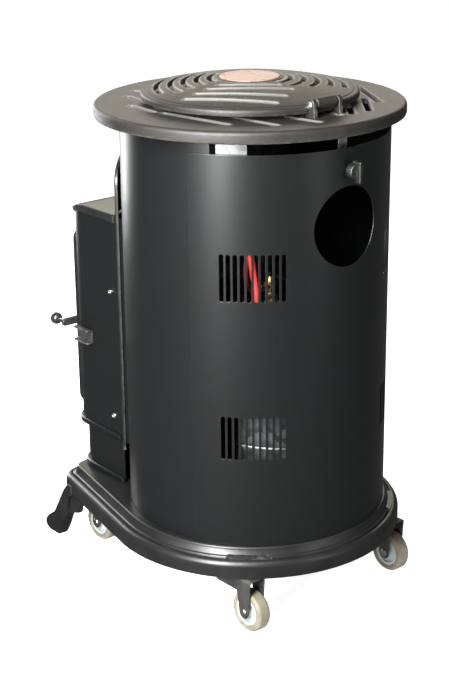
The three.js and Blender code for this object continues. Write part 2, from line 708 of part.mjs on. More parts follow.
for (const [name, side] of sides) {
  for (const [height, y, z] of screw.spots) {
    const from = side * (bay.half + gap);
    const head = rod([from, y, z], [from + side * screw.head, y, z], screw.radius, 8);
    place(`bay_screw_${height}_${name}`, head, brightSteel);
  }
}

// ---------------------------------------------------------------- door
const hingePlaces = [['lower', door.low + doorHinge.inset], ['upper', door.high - doorHinge.inset]];

// A rectangle about X = 0 given by its half width, low and high edges, less an inset all round.
const panel = ({ half, low, high }, radius, inset = 0, steps = 3) => roundedRectangle(
  -half + inset, half - inset, low + inset, high - inset, radius, steps);

function makeDoorFrame() {
  const { half, back, front, corner } = door;
  const { x, y, knuckle, pin } = doorHinge;
  const opening = panel(doorOpening, doorOpening.corner).reverse();
  const pieces = [slabAlongY(panel(door, corner, 0, 4), front, back, 2, [opening])];
  const bores = [rod([latch.x, back + 10, latch.z], [latch.x, front - 10, latch.z], latch.shaft + gap)];
  for (const [, z] of hingePlaces) {
    pieces.push(
      prism(circle(x, y, knuckle, 10), z - doorHinge.half, z + doorHinge.half),
      box(x, -half + 6, y + 2, back - 1, z - doorHinge.half + 1, z + doorHinge.half - 1),
    );
    bores.push(prism(circle(x, y, pin + 1.5 * gap, 10), z - doorHinge.lugHalf, z + doorHinge.lugHalf));
  }
  return cut(join(...pieces), ...bores);
}

place('door_frame', makeDoorFrame(), enamelBlack);
place('door_glass', slabAlongY(panel(doorGlass, 6), doorGlass.front, doorGlass.back), heatGlass);
place('glass_retainer', slabAlongY(
  panel(doorGlass, 6, -retainer.edge),
  retainer.front,
  retainer.back,
  0,
  [panel(doorGlass, 4, retainer.band).reverse()],
), brightSteel);

for (const [name, z] of hingePlaces) {
  const { x, y, pin, knuckle, lugHalf, lugGap } = doorHinge;
  const lugEnd = bay.front + 9.8;
  const lug = (low, high) => join(
    prism(circle(x, y, knuckle, 10), low, high),
    box(x - 5, x + 1.5, y - 2, lugEnd, low, high),
  );
  place(`door_hinge_${name}`, join(
    lug(z - lugHalf, z - lugGap),
    lug(z + lugGap, z + lugHalf),
    prism(circle(x, y, pin, 10), z - lugHalf + 1, z + lugHalf - 1),
  ), castBlack);
}

function makeLatchSpindle() {
  const { x, z, shaft, collar, arm, armHalf, armBack, armFront } = latch;
  const armOutline = roundedRectangle(x - 7, x + arm + 7, z - armHalf, z + armHalf, armHalf - 0.2);
  return join(
    rod([x, door.back + 0.6, z], [x, armFront, z], shaft, 16),
    rod([x, door.front - 0.6, z], [x, door.front - 4, z], collar, 16),
    slabAlongY(armOutline, armFront, armBack, 1),
    rod([x + arm, armBack - 1, z], [x + arm, ballKnob.neckFront, z], ballKnob.neck, 12),
  );
}

place('latch_spindle', makeLatchSpindle(), castBlack);

place('latch_ball_knob', new THREE.SphereGeometry(ballKnob.radius, 12, 8)
  .translate(latch.x + latch.arm, ballKnob.y, latch.z), ballBlack);

function makeKeeper() {
  const { front, back, half, lip, reach } = keeper;
  const x = bay.half + gap;
  return join(
    box(x, x + lip, front, back, latch.z - half, latch.z + half),
    box(x, bay.half + reach, front, back, latch.z - half, latch.z - half + lip),
    box(x, bay.half + reach, front, back, latch.z + half - lip, latch.z + half),
  );
}

place('latch_keeper', makeKeeper(), castBlack);

// ---------------------------------------------------------------- inside: heat shield and fuel
place('heat_shield', box(
  -shield.half, shield.half, shield.front, shield.back, shield.low, shield.high), galvanised);

// The tank is a hollow vessel, open at its filler neck.
function makeTank() {
  const { radius, low, shoulder, y, wall } = tank;
  const vessel = (shrink, raise) => turned([
    [0, low + 4 + raise], [radius - 22, low + 4 + raise], [radius - 6 - shrink, low + 4 + raise],
    [radius - shrink, low + 10], [radius - shrink, shoulder],
    [radius - 10 - shrink, shoulder + 18 - shrink], [radius - 34 - shrink, shoulder + 30 - shrink],
    [0, shoulder + 36 - shrink],
  ], 24, 0, y);
  const footRing = cut(
    prism(circle(0, y, radius - 6, 24), low, low + 6),
    prism(circle(0, y, radius - 10, 24), low - 1, low + 7),
  );
  return cut(
    join(
      vessel(0, 0),
      footRing,
      rod([valve.x, valve.y, shoulder + 20], [valve.x, valve.y, 441], 14, 16),
      rod([filler.x, filler.y, shoulder + 10], [filler.x, filler.y, filler.top], filler.neck, 18),
    ),
    vessel(wall, wall),
    rod([filler.x, filler.y, shoulder], [filler.x, filler.y, filler.top + 5], filler.neck - wall - 1, 18),
  );
}

place('fuel_tank', makeTank(), galvanised);

place('filler_cap', join(
  rod([filler.x, filler.y, filler.top + gap], [filler.x, filler.y, filler.capTop], filler.cap, 20),
  box(filler.x - 4, filler.x + 4, filler.y - 20, filler.y + 20, filler.capTop - 1, filler.capTop + 8),
), ballBlack);

place('tank_valve', join(
  rod([valve.x, valve.y, 441.3], [valve.x, valve.y, 476], 9, 6),
  rod([valve.x, valve.y, valve.z], [valve.x + 26, valve.y, valve.z], 6, 12),
), brass);

place('valve_lever', join(
  rod([valve.x, valve.y, 476.3], [valve.x, valve.y, 483], 6, 12),
  box(valve.x - 5, valve.x + 5, valve.y - 4, valve.y + 46, 478, 482),
), steelBlack);

// The hose leaves the valve, loops over and runs down beside the cover,
// then round the tank and under the shield.
const hoseRoute = [
  [50.4, 58, 462], [64, 60, 466], [80, 72, 490], [91, 94, 536], [101, 112, 572], [111, 122, 584],
  [116.5, 123, 572], [116, 124, 545], [113, 127, 510], [110, 130, 478], [112, 129, 440], [122, 116, 390],
  [135, 92, 330], [145, 62, 270], [148, 26, 214], [142, -14, 172], [124, -56, 156], [104, -100, 151],
  [92, -150, 150], [84, -186, 150], [72, -202, 150], [57, -203, 150],
].map((point) => new THREE.Vector3(...point));

place('fuel_hose', new THREE.ExtrudeGeometry(
  new THREE.Shape(circle(0, 0, hoseRadius, 8)),
  { steps: 36, bevelEnabled: false, extrudePath: new THREE.CatmullRomCurve3(hoseRoute) },
), hoseRed);

// ---------------------------------------------------------------- inside: burner
place('burner_sump', join(
  turned([[0, 127], [44, 127], [50, 132], [50, 166], [44, 172], [0, 172]], 18, 0, burner.y),
  rod([46, burner.y, 150], [55.6, burner.y, 150], 5, 12),
), galvanised);

place('wick_tube', turned([
  [38.2, 172.3], [40, 172.3], [40, 181.9], [60, 181.9], [60, 183.6], [40, 183.6], [40, 236], [38.2, 236],
], 18, 0, burner.y), brightSteel);

place('wick', turned([[33.6, 184], [37.6, 184], [37.6, 237], [33.6, 237]], 18, 0, burner.y), wickWhite);

place('flame_spreader', turned([
  [0, 172.3], [33, 172.3], [33, 240], [31, 242], [31, 262], [26, 268], [0, 270],
], 18, 0, burner.y), brightSteel);

place('burner_chimney', turned([
  [54, 184], [54, 190], [49, 195], [49, 400], [40, 418], [0, 424],
  [0, 422.6], [39.2, 416.7], [47.8, 399.6], [47.8, 194.4], [52.6, 189.4], [52.6, 184],
], 18, 0, burner.y), brightSteel);

place('reflector', prism([
  ...arc(0, burner.y, mirror.outer, mirror.from, mirror.to, 18),
  ...arc(0, burner.y, mirror.inner, mirror.to, mirror.from, 18),
], bay.low + sheet + 1, mirror.high), brightSteel);

function makeWickKnob() {
  const { z, shaft, radius, back, front, grip } = wickKnob;
  return join(
    rod([0, lowerBay.front + 16, z], [0, back - 0.5, z], shaft, 12),
    rod([0, back, z], [0, front, z], radius, 20),
    slabAlongY(roundedRectangle(-3, 3, z - radius + 2, z + radius - 2, 2.5), grip, front + 1, 1),
  );
}

place('wick_knob', makeWickKnob(), ballBlack);

export default heater;
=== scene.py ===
"""Looks of a round kerosene heater on casters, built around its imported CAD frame.

Outlines are in millimetres, measured from the casing axis (X = 0, Y = 0) and the floor (Z = 0).
add_mesh() turns them into metres in the frame's own coordinates.
"""
import json
import math

import bmesh
import bpy
import numpy as np
from mathutils import Matrix, Vector
from mathutils.geometry import delaunay_2d_cdt


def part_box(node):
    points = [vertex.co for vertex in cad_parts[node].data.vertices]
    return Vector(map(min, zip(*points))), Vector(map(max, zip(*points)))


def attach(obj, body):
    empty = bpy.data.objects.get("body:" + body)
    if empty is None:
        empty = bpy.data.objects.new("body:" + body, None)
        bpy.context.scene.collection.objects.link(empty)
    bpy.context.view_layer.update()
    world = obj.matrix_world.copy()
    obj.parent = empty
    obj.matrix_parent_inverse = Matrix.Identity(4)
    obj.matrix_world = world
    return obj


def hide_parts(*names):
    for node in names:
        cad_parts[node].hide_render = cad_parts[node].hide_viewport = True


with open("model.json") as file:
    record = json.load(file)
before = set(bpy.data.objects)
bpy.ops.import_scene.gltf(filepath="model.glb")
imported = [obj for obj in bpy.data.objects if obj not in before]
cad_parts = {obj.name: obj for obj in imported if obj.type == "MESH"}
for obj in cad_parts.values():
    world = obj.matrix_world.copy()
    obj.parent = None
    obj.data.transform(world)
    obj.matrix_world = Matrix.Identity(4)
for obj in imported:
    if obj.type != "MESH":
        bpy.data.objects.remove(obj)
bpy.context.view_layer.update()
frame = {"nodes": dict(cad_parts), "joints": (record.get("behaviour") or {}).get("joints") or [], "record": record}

MM = 0.001
COVER_LAP = 1.9                       # the rear cover stands this far outside the casing
CASING_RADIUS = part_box("casing_shell")[1].x / MM
COVER_RADIUS = CASING_RADIUS + COVER_LAP
AXIS_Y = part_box("rear_cover")[1].y - COVER_RADIUS * MM
HEATER = "heater_body"
SHEET = 1.5                           # thickness of the pressed steel sheets
SIDES = (("left", -1), ("right", 1))


def span(node):
    """Lowest and highest corner of a CAD node, in millimetres from the casing axis."""
    low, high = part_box(node)
    shift = Vector((0, AXIS_Y, 0))
    return (low - shift) / MM, (high - shift) / MM


# ------------------------------------------------------------------ camera, floor and lights
CAMERA_PLACE = (1.4409, 1.7174, 1.1372)
CAMERA_TURN = 140.169                 # compass angle of the view, in degrees: 0 looks along +Y
CAMERA_TILT = -19.522
CAMERA_ROLL = -0.645
FOCAL_SHARE = 1598.3 / 682            # focal length as a share of the picture's long side


def make_camera():
    data = bpy.data.cameras.new("camera")
    data.sensor_width = 36
    data.lens = FOCAL_SHARE * data.sensor_width
    data.dof.use_dof = False
    camera = bpy.data.objects.new("camera", data)
    bpy.context.scene.collection.objects.link(camera)
    turn, tilt, roll = (math.radians(angle) for angle in (CAMERA_TURN, CAMERA_TILT, CAMERA_ROLL))
    forward = Vector((-math.sin(turn) * math.cos(tilt), math.cos(turn) * math.cos(tilt), math.sin(tilt)))
    level = Vector((math.cos(turn), math.sin(turn), 0))
    steep = level.cross(forward)
    right = level * math.cos(roll) + steep * math.sin(roll)
    up = steep * math.cos(roll) - level * math.sin(roll)
    axes = Matrix((right, up, -forward)).transposed().to_4x4()
    camera.matrix_world = Matrix.Translation(CAMERA_PLACE) @ axes
    bpy.context.scene.camera = camera


def softbox(name, turn, height, distance, size, power, tint=(1, 1, 1)):
    """A large area light, placed by its compass angle from the camera's side of the heater."""
    data = bpy.data.lights.new(name, "AREA")
    data.shape = "RECTANGLE"
    data.size, data.size_y = size
    data.energy = power
    data.color = tint
    light = bpy.data.objects.new(name, data)
    angle = math.radians(CAMERA_TURN + turn)
    target = Vector((0, 0, 0.4))
    light.location = (math.sin(angle) * distance, -math.cos(angle) * distance, height)
    light.rotation_euler = (target - light.location).to_track_quat("-Z", "Y").to_euler()
    bpy.context.scene.collection.objects.link(light)


def make_world():
    """White behind the heater, and a dim even light everywhere else."""
    world = bpy.data.worlds.new("studio")
    world.use_nodes = True
    nodes, links = world.node_tree.nodes, world.node_tree.links
    background = nodes["Background"]
    background.inputs["Color"].default_value = (1, 1, 1, 1)
    path = nodes.new("ShaderNodeLightPath")
    strength = nodes.new("ShaderNodeMapRange")
    strength.inputs["To Min"].default_value = 0.11
    strength.inputs["To Max"].default_value = 1.0
    links.new(path.outputs["Is Camera Ray"], strength.inputs["Value"])
    links.new(strength.outputs["Result"], background.inputs["Strength"])
    bpy.context.scene.world = world
    bpy.context.scene.view_settings.view_transform = "Standard"


def make_floor():
    half = 30
    mesh = bpy.data.meshes.new("floor")
    corners = [(-half, -half, 0), (half, -half, 0), (half, half, 0), (-half, half, 0)]
    mesh.from_pydata(corners, [], [(0, 1, 2, 3)])
    floor = bpy.data.objects.new("floor", mesh)
    bpy.context.scene.collection.objects.link(floor)
    floor.visible_glossy = False
    look = bpy.data.materials.new("floor")
    look.use_nodes = True
    shader = look.node_tree.nodes["Principled BSDF"]
    shader.inputs["Base Color"].default_value = (0.93, 0.93, 0.93, 1)
    shader.inputs["Roughness"].default_value = 0.9
    shader.inputs["Emission Color"].default_value = (1, 1, 1, 1)
    shader.inputs["Emission Strength"].default_value = 0.88
    mesh.materials.append(look)


def make_studio():
    make_world()
    softbox("key", -27, 1.15, 1.45, (0.36, 1.5), 150)
    softbox("fill", 50, 0.9, 1.9, (0.5, 1.6), 6)
    softbox("top", 0, 2.3, 0.9, (1.2, 1.0), 9)
    softbox("rim", -142, 0.75, 1.9, (0.35, 1.4), 26)
    softbox("back", 176, 1.55, 2.4, (2.2, 1.0), 22, (1, 0.92, 0.78))
    make_floor()


make_camera()
make_studio()


# ------------------------------------------------------------------ materials
class Look:
    """A procedural material: base and patch colours, grain, bump, and lighter edges for wear and for painted
    highlight.
    """

    def __init__(self, name):
        self.material = bpy.data.materials.new(name)
        self.material.use_nodes = True
        self.tree = self.material.node_tree
        self.shader = self.tree.nodes["Principled BSDF"]
        self.place = self.node("ShaderNodeTexCoord").outputs["Object"]

    def node(self, kind, **settings):
        made = self.tree.nodes.new(kind)
        for key, value in settings.items():
            setattr(made, key, value)
        return made

    def link(self, source, target):
        self.tree.links.new(source, target)

    def noise(self, size, detail=3, roughness=0.55, stretch=None):
        """Noise whose features are about this many millimetres wide."""
        place = self.place
        if stretch:
            mapping = self.node("ShaderNodeMapping")
            mapping.inputs["Scale"].default_value = stretch
            self.link(place, mapping.inputs["Vector"])
            place = mapping.outputs["Vector"]
        made = self.node("ShaderNodeTexNoise")
        made.inputs["Scale"].default_value = 1 / (size * MM)
        made.inputs["Detail"].default_value = detail
        made.inputs["Roughness"].default_value = roughness
        self.link(place, made.inputs["Vector"])
        return made.outputs["Fac"]

    def span(self, value, low, high, out_low, out_high):
        made = self.node("ShaderNodeMapRange")
        for socket, number in zip(("From Min", "From Max", "To Min", "To Max"),
                                  (low, high, out_low, out_high)):
            made.inputs[socket].default_value = number
        self.link(value, made.inputs["Value"])
        return made.outputs["Result"]

    def blend(self, share, first, second):
        """Mixes two colours, each a tuple or a socket."""
        made = self.node("ShaderNodeMix", data_type="RGBA")
        self.link(share, made.inputs["Factor"])
        for socket, colour in ((made.inputs["A"], first), (made.inputs["B"], second)):
            if isinstance(colour, tuple):
                socket.default_value = (*colour, 1)
            else:
                self.link(colour, socket)
        return made.outputs["Result"]

    def edges(self, low, high):
        """1 on sharp convex edges, 0 elsewhere, broken up by noise."""
        pointed = self.span(self.node("ShaderNodeNewGeometry").outputs["Pointiness"], low, high, 0, 1)
        broken = self.span(self.noise(7, 4), 0.38, 0.62, 0, 1)
        made = self.node("ShaderNodeMath", operation="MULTIPLY")
        self.link(pointed, made.inputs[0])
        self.link(broken, made.inputs[1])
        return made.outputs["Value"]

    def bump(self, *layers):
        """Adds bump layers, each (height socket, distance in millimetres, strength)."""
        normal = None
        for height, distance, strength in layers:
            made = self.node("ShaderNodeBump")
            made.inputs["Distance"].default_value = distance * MM
            made.inputs["Strength"].default_value = strength
            self.link(height, made.inputs["Height"])
            if normal:
                self.link(normal, made.inputs["Normal"])
            normal = made.outputs["Normal"]
        self.link(normal, self.shader.inputs["Normal"])

    def set(self, **values):
        for key, value in values.items():
            socket = self.shader.inputs[key.replace("_", " ")]
            if isinstance(value, tuple):
                socket.default_value = (*value, 1)
            elif isinstance(value, (int, float)):
                socket.default_value = value
            else:
                self.link(value, socket)


def powder_coat():
    """Charcoal powder coat: a fine, slightly sparkling orange peel."""
    look = Look("powder_coat")
    speck = look.noise(1.1, 2, 0.6)
    patches = look.noise(160, 3)
    colour = look.blend(look.span(speck, 0.35, 0.7, 0, 1), (0.0018, 0.0021, 0.0023),
                        (0.0062, 0.0068, 0.0072))
    colour = look.blend(look.span(patches, 0.35, 0.65, 0, 0.35), colour, (0.0032, 0.0039, 0.0035))
    look.set(Base_Color=colour, Roughness=look.span(speck, 0.3, 0.7, 0.31, 0.38), Metallic=0.0, IOR=1.40)
    look.bump((speck, 0.09, 0.5), (look.noise(3.2, 2), 0.10, 0.25))
    return look.material


def enamel():
    """Semi-gloss black enamel over cast iron and pressed trim."""
    look = Look("enamel")
    speck = look.noise(1.6, 3, 0.6)
    patches = look.noise(55, 3)
    colour = look.blend(look.span(patches, 0.35, 0.65, 0, 1), (0.0040, 0.0043, 0.0042),
                        (0.0080, 0.0084, 0.0078))
    colour = look.blend(look.edges(0.54, 0.62), colour, (0.045, 0.045, 0.044))
    look.set(Base_Color=colour, Roughness=look.span(speck, 0.3, 0.7, 0.30, 0.42), IOR=1.45)
    look.bump((speck, 0.10, 0.4), (look.noise(14, 2), 0.30, 0.25))
    return look.material


def cast_iron():
    """Sand-cast iron under a grey-brown heat-proof paint, lighter along its edges and hole walls: rubbed paint and
    painted highlight.
    """
    look = Look("cast_iron")
    grain = look.noise(0.9, 3, 0.7)
    pores = look.noise(2.6, 4, 0.65)
    patches = look.noise(45, 4)
    colour = look.blend(look.span(patches, 0.3, 0.7, 0, 1), (0.0036, 0.0032, 0.0025),
                        (0.0090, 0.0080, 0.0062))
    colour = look.blend(look.span(grain, 0.42, 0.72, 0, 0.7), colour, (0.024, 0.0215, 0.0175))
    # Sharp edges painted lighter: rubbed paint and a painted highlight.
    colour = look.blend(look.edges(0.53, 0.60), colour, (0.10, 0.092, 0.080))
    # Hole walls painted lighter: rubbed paint and a painted highlight where light catches the slot walls.
    wear_and_highlight = look.node("ShaderNodeAttribute", attribute_name="wear_and_highlight").outputs["Fac"]
    colour = look.blend(look.span(wear_and_highlight, 0.45, 1.0, 0, 0.9), colour, (0.095, 0.094, 0.084))
    look.set(Base_Color=colour, Roughness=look.span(pores, 0.3, 0.7, 0.42, 0.60), Metallic=0.0)
    look.bump((grain, 0.20, 0.8), (pores, 0.45, 0.7))
    return look.material


def fittings():
    """Semi-matt black paint on pressed steel fittings."""
    look = Look("fittings")
    speck = look.noise(1.4, 3, 0.6)
    colour = look.blend(look.span(look.noise(22, 3), 0.35, 0.65, 0, 1), (0.012, 0.012, 0.012),
                        (0.024, 0.024, 0.023))
    colour = look.blend(look.edges(0.53, 0.6), colour, (0.10, 0.095, 0.088))
    look.set(Base_Color=colour, Roughness=look.span(speck, 0.3, 0.7, 0.42, 0.58))
    look.bump((speck, 0.08, 0.5))
    return look.material


def plated(name, dark, light, smooth, rough, drawn=(1, 1, 1), bump=0.05):
    """Bright metal with fine drawing marks and cloudy patches."""
    look = Look(name)
    marks = look.noise(0.8, 3, 0.6, stretch=drawn)
    clouds = look.noise(18, 4)
    colour = look.blend(look.span(clouds, 0.3, 0.7, 0, 1), dark, light)
    look.set(Base_Color=colour, Metallic=1.0, Roughness=look.span(clouds, 0.3, 0.7, smooth, rough))
    look.bump((marks, bump, 0.5))
    return look.material


def galvanised():
    """Zinc-coated sheet with its faint crystal spangle."""
    look = Look("galvanised")
    cells = look.node("ShaderNodeTexVoronoi")
    cells.inputs["Scale"].default_value = 1 / (9 * MM)
    look.link(look.place, cells.inputs["Vector"])
    shade = look.node("ShaderNodeSeparateColor")
    look.link(cells.outputs["Color"], shade.inputs["Color"])
    spangle = shade.outputs["Red"]
    colour = look.blend(spangle, (0.10, 0.105, 0.108), (0.18, 0.187, 0.19))
    look.set(Base_Color=colour, Metallic=1.0, Roughness=look.span(spangle, 0, 1, 0.40, 0.55))
    look.bump((look.noise(1.5, 3), 0.06, 0.4), (look.noise(30, 2), 0.6, 0.3))
    return look.material


def copper_face():
    """Copper-pink enamelled disc with faint scratches and stains."""
    look = Look("copper_face")
    scratches = look.noise(3.0, 5, 0.7, stretch=(1.0, 0.16, 1.0))
    stains = look.noise(12, 4)
    colour = look.blend(look.span(stains, 0.35, 0.68, 0, 1), (0.27, 0.17, 0.14), (0.36, 0.245, 0.205))
    colour = look.blend(look.span(scratches, 0.56, 0.62, 0, 0.9), colour, (0.10, 0.045, 0.035))
    look.set(Base_Color=colour, Roughness=look.span(stains, 0.3, 0.7, 0.38, 0.55), Metallic=0.25)
    look.bump((scratches, 0.15, 0.4))
    return look.material


def moulded(name, dark, light, roughness, grain=1.2, bump=0.08, patch=25, dirt=None):
    """Moulded rubber or plastic with soft mottling, and dirt if a colour is given."""
    look = Look(name)
    speck = look.noise(grain, 3, 0.6)
    colour = look.blend(look.span(look.noise(patch, 4), 0.35, 0.65, 0, 1), dark, light)
    if dirt:
        colour = look.blend(look.span(look.noise(6, 5, 0.7), 0.56, 0.72, 0, 0.6), colour, dirt)
    look.set(Base_Color=colour, Roughness=look.span(speck, 0.3, 0.7, roughness - 0.05, roughness + 0.08))
    look.bump((speck, bump, 0.5))
    return look.material


def woven_wick():
    """Coarse woven glass fibre."""
    look = Look("woven_wick")
    wave = look.node("ShaderNodeTexWave", wave_type="BANDS", bands_direction="DIAGONAL")
    wave.inputs["Scale"].default_value = 260
    wave.inputs["Distortion"].default_value = 2
    look.link(look.place, wave.inputs["Vector"])
    colour = look.blend(wave.outputs["Fac"], (0.42, 0.38, 0.30), (0.72, 0.68, 0.58))
    look.set(Base_Color=colour, Roughness=0.95)
    look.bump((wave.outputs["Fac"], 0.3, 0.8))
    return look.material


def stove_glass():
    """Clear heat-resistant glass with a faint haze."""
    look = Look("stove_glass")
    haze = look.noise(30, 3)
    look.set(Base_Color=(0.92, 0.95, 0.94), Transmission_Weight=1.0, IOR=1.47,
             Roughness=look.span(haze, 0.35, 0.75, 0.02, 0.12))
    look.bump((look.noise(40, 2), 0.05, 0.2))
    return look.material


LOOKS = {
    "black_steel": powder_coat(),
    "black_enamel": enamel(),
    "cast_top": cast_iron(),
    "black_fittings": fittings(),
    "bright_steel": plated("zinc_plate", (0.50, 0.50, 0.49), (0.72, 0.72, 0.70), 0.22, 0.34),
    "galvanised_steel": galvanised(),
    "knob_metal": plated("knob_metal", (0.05, 0.053, 0.047), (0.09, 0.094, 0.085), 0.38, 0.5, bump=0.1),
    "copper_disc": copper_face(),
    "wheel_tyre": moulded("tyre", (0.095, 0.085, 0.058), (0.15, 0.135, 0.097), 0.62,
                          dirt=(0.08, 0.068, 0.045)),
    "wheel_hub": moulded("hub", (0.20, 0.225, 0.225), (0.28, 0.31, 0.31), 0.45),
    "ball_knob": moulded("phenolic", (0.008, 0.008, 0.008), (0.016, 0.016, 0.016), 0.16, bump=0.02),
    "hose_rubber": moulded("hose_rubber", (0.33, 0.012, 0.010), (0.46, 0.025, 0.018), 0.42),
    "brass_valve": plated("brass", (0.52, 0.36, 0.12), (0.68, 0.50, 0.20), 0.22, 0.36),
    "wick_fibre": woven_wick(),
    "stove_glass": stove_glass(),
}
SLOT_OF = {part["node"]: part["material_slot"] for part in frame["record"]["subparts"]}


# ------------------------------------------------------------------ mesh building
def finish_piece(piece, slot, body, nodes):
    """Gives a piece its material and slot, and lets it ride on its body in place of CAD nodes."""
    piece.data.materials.append(LOOKS[slot])
    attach(piece, body)
    if nodes:
        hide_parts(*nodes)
    return piece


def add_mesh(name, points, faces, slot, body=HEATER, nodes=(), crease=42, weighted=True, wear_and_highlight=None):
    """A piece from points in millimetres from the casing axis, shaded smooth up to a crease angle.

    The last argument gives each point its share of rubbed paint and painted highlight, from 0 to 1.
    """
    mesh = bpy.data.meshes.new(name)
    placed = np.asarray(points, float) * MM + np.array([0, AXIS_Y, 0])
    mesh.from_pydata(placed.tolist(), [], [list(map(int, face)) for face in faces])
    if wear_and_highlight is not None:
        mesh.attributes.new("wear_and_highlight", "FLOAT", "POINT").data.foreach_set("value", wear_and_highlight)
    mesh.validate()
    shape = bmesh.new()
    shape.from_mesh(mesh)
    bmesh.ops.recalc_face_normals(shape, faces=shape.faces)
    shape.to_mesh(mesh)
    shape.free()
    mesh.shade_smooth()
    mesh.set_sharp_from_angle(angle=math.radians(crease))
    piece = bpy.data.objects.new(name, mesh)
    bpy.context.scene.collection.objects.link(piece)
    if weighted:
        modifier = piece.modifiers.new("weighted_normals", "WEIGHTED_NORMAL")
        modifier.keep_sharp = True
    return finish_piece(piece, slot, body, nodes)


def arc(x, y, radius, start, end, steps):
    angles = np.radians(np.linspace(start, end, steps + 1))
    return np.stack([x + radius * np.cos(angles), y + radius * np.sin(angles)], 1)


def circle(x, y, radius, steps):
    return arc(x, y, radius, 0, 360, steps)[:-1]


def rectangle(x0, x1, y0, y1, radius, steps=6):
    return np.concatenate([
        arc(x1 - radius, y0 + radius, radius, -90, 0, steps),
        arc(x1 - radius, y1 - radius, radius, 0, 90, steps),
        arc(x0 + radius, y1 - radius, radius, 90, 180, steps),
        arc(x0 + radius, y0 + radius, radius, 180, 270, steps),
    ])


def rounded(points, radii, steps=5, closed=True):
    """A polygon with each corner replaced by an arc of its radius; radii may be one number."""
    points = [np.array(point, float) for point in points]
    radii = radii if isinstance(radii, (list, tuple)) else [radii] * len(points)
    made = []
    for i, (point, radius) in enumerate(zip(points, radii)):
        if radius == 0 or (not closed and i in (0, len(points) - 1)):
            made.append(point)
            continue
        before = points[i - 1] - point
        after = points[(i + 1) % len(points)] - point
        long_before, long_after = np.linalg.norm(before), np.linalg.norm(after)
        before, after = before / long_before, after / long_after
        half = math.acos(np.clip(before @ after, -1, 1)) / 2
        reach = min(radius / math.tan(half), 0.49 * long_before, 0.49 * long_after)
        actual = reach * math.tan(half)
        middle = point + (before + after) / np.linalg.norm(before + after) * actual / math.sin(half)
        first, last = point + before * reach - middle, point + after * reach - middle
        turn = math.atan2(first[0] * last[1] - first[1] * last[0], first @ last)
        for k in range(steps + 1):
            angle = turn * k / steps
            made.append(middle + (first[0] * math.cos(angle) - first[1] * math.sin(angle),
                                  first[0] * math.sin(angle) + first[1] * math.cos(angle)))
    return np.array(made)


def offset(loop, distance):
    """A closed outline moved to its left: inwards if it runs anticlockwise."""
    ahead = np.roll(loop, -1, 0) - loop
    ahead /= np.linalg.norm(ahead, axis=1)[:, None]
    normal = np.stack([-ahead[:, 1], ahead[:, 0]], 1)
    before = np.roll(normal, 1, 0)
    miter = (normal + before) / (1 + np.sum(normal * before, 1))[:, None]
    return loop + miter * distance


def inside(points, loops):
    """Which points lie in a region, by crossing its outlines an odd number of times."""
    odd = np.zeros(len(points), bool)
    for loop in loops:
        after = np.roll(loop, -1, 0)
        for (x0, y0), (x1, y1) in zip(loop, after):
            if y0 == y1:
                continue
            level = (y0 > points[:, 1]) != (y1 > points[:, 1])
            odd ^= level & (points[:, 0] < (x1 - x0) * (points[:, 1] - y0) / (y1 - y0) + x0)
    return odd


def fill(loops, spacing):
    """Points and triangles of a flat region, with extra points spread evenly inside it."""
    scale = np.array(spacing, float)
    loops = [loop / scale for loop in loops]
    edge_points = np.concatenate(loops)
    low, high = edge_points.min(0), edge_points.max(0)
    grid = [np.zeros((0, 2))]
    for i, row in enumerate(np.arange(low[1] + 0.5, high[1], 0.9)):
        places = np.arange(low[0] + 0.5 * (i % 2), high[0], 1.0)
        grid.append(np.column_stack([places, np.full_like(places, row)]))
    grid = np.concatenate(grid)
    grid = grid[inside(grid, loops)]
    clear = np.ones(len(grid), bool)
    for loop in loops:
        after = np.roll(loop, -1, 0)
        for start, end in zip(loop, after):
            along = end - start
            share = np.clip((grid - start) @ along / max(along @ along, 1e-12), 0, 1)
            clear &= np.linalg.norm(grid - start - share[:, None] * along, axis=1) > 0.45
    grid = grid[clear]
    points = np.concatenate([edge_points, grid])
    edges, first = [], 0
    for loop in loops:
        count = len(loop)
        edges += [(first + i, first + (i + 1) % count) for i in range(count)]
        first += count
    out, _, triangles, origins, _, _ = delaunay_2d_cdt([Vector(p) for p in points], edges, [], 0, 1e-9)
    assert all(origins), "outlines cross"
    source = np.array([origin[0] for origin in origins])
    placed = np.array([[p.x, p.y] for p in out])
    triangles = np.array([t for t in triangles if len(t) == 3])
    triangles = triangles[inside(placed[triangles].mean(1), loops)]
    return points * scale, source[triangles]


def fillet(radius, level=0.0, steps=4, down=-1):
    """(inset, outwards) rings of a rounded edge, from the wall to the face at this level."""
    angles = np.radians(np.linspace(0, 90, steps + 1))
    rings = [(radius * (1 - math.cos(a)), level + down * radius * (1 - math.sin(a))) for a in angles]
    return rings + [(radius + 0.35, level)]


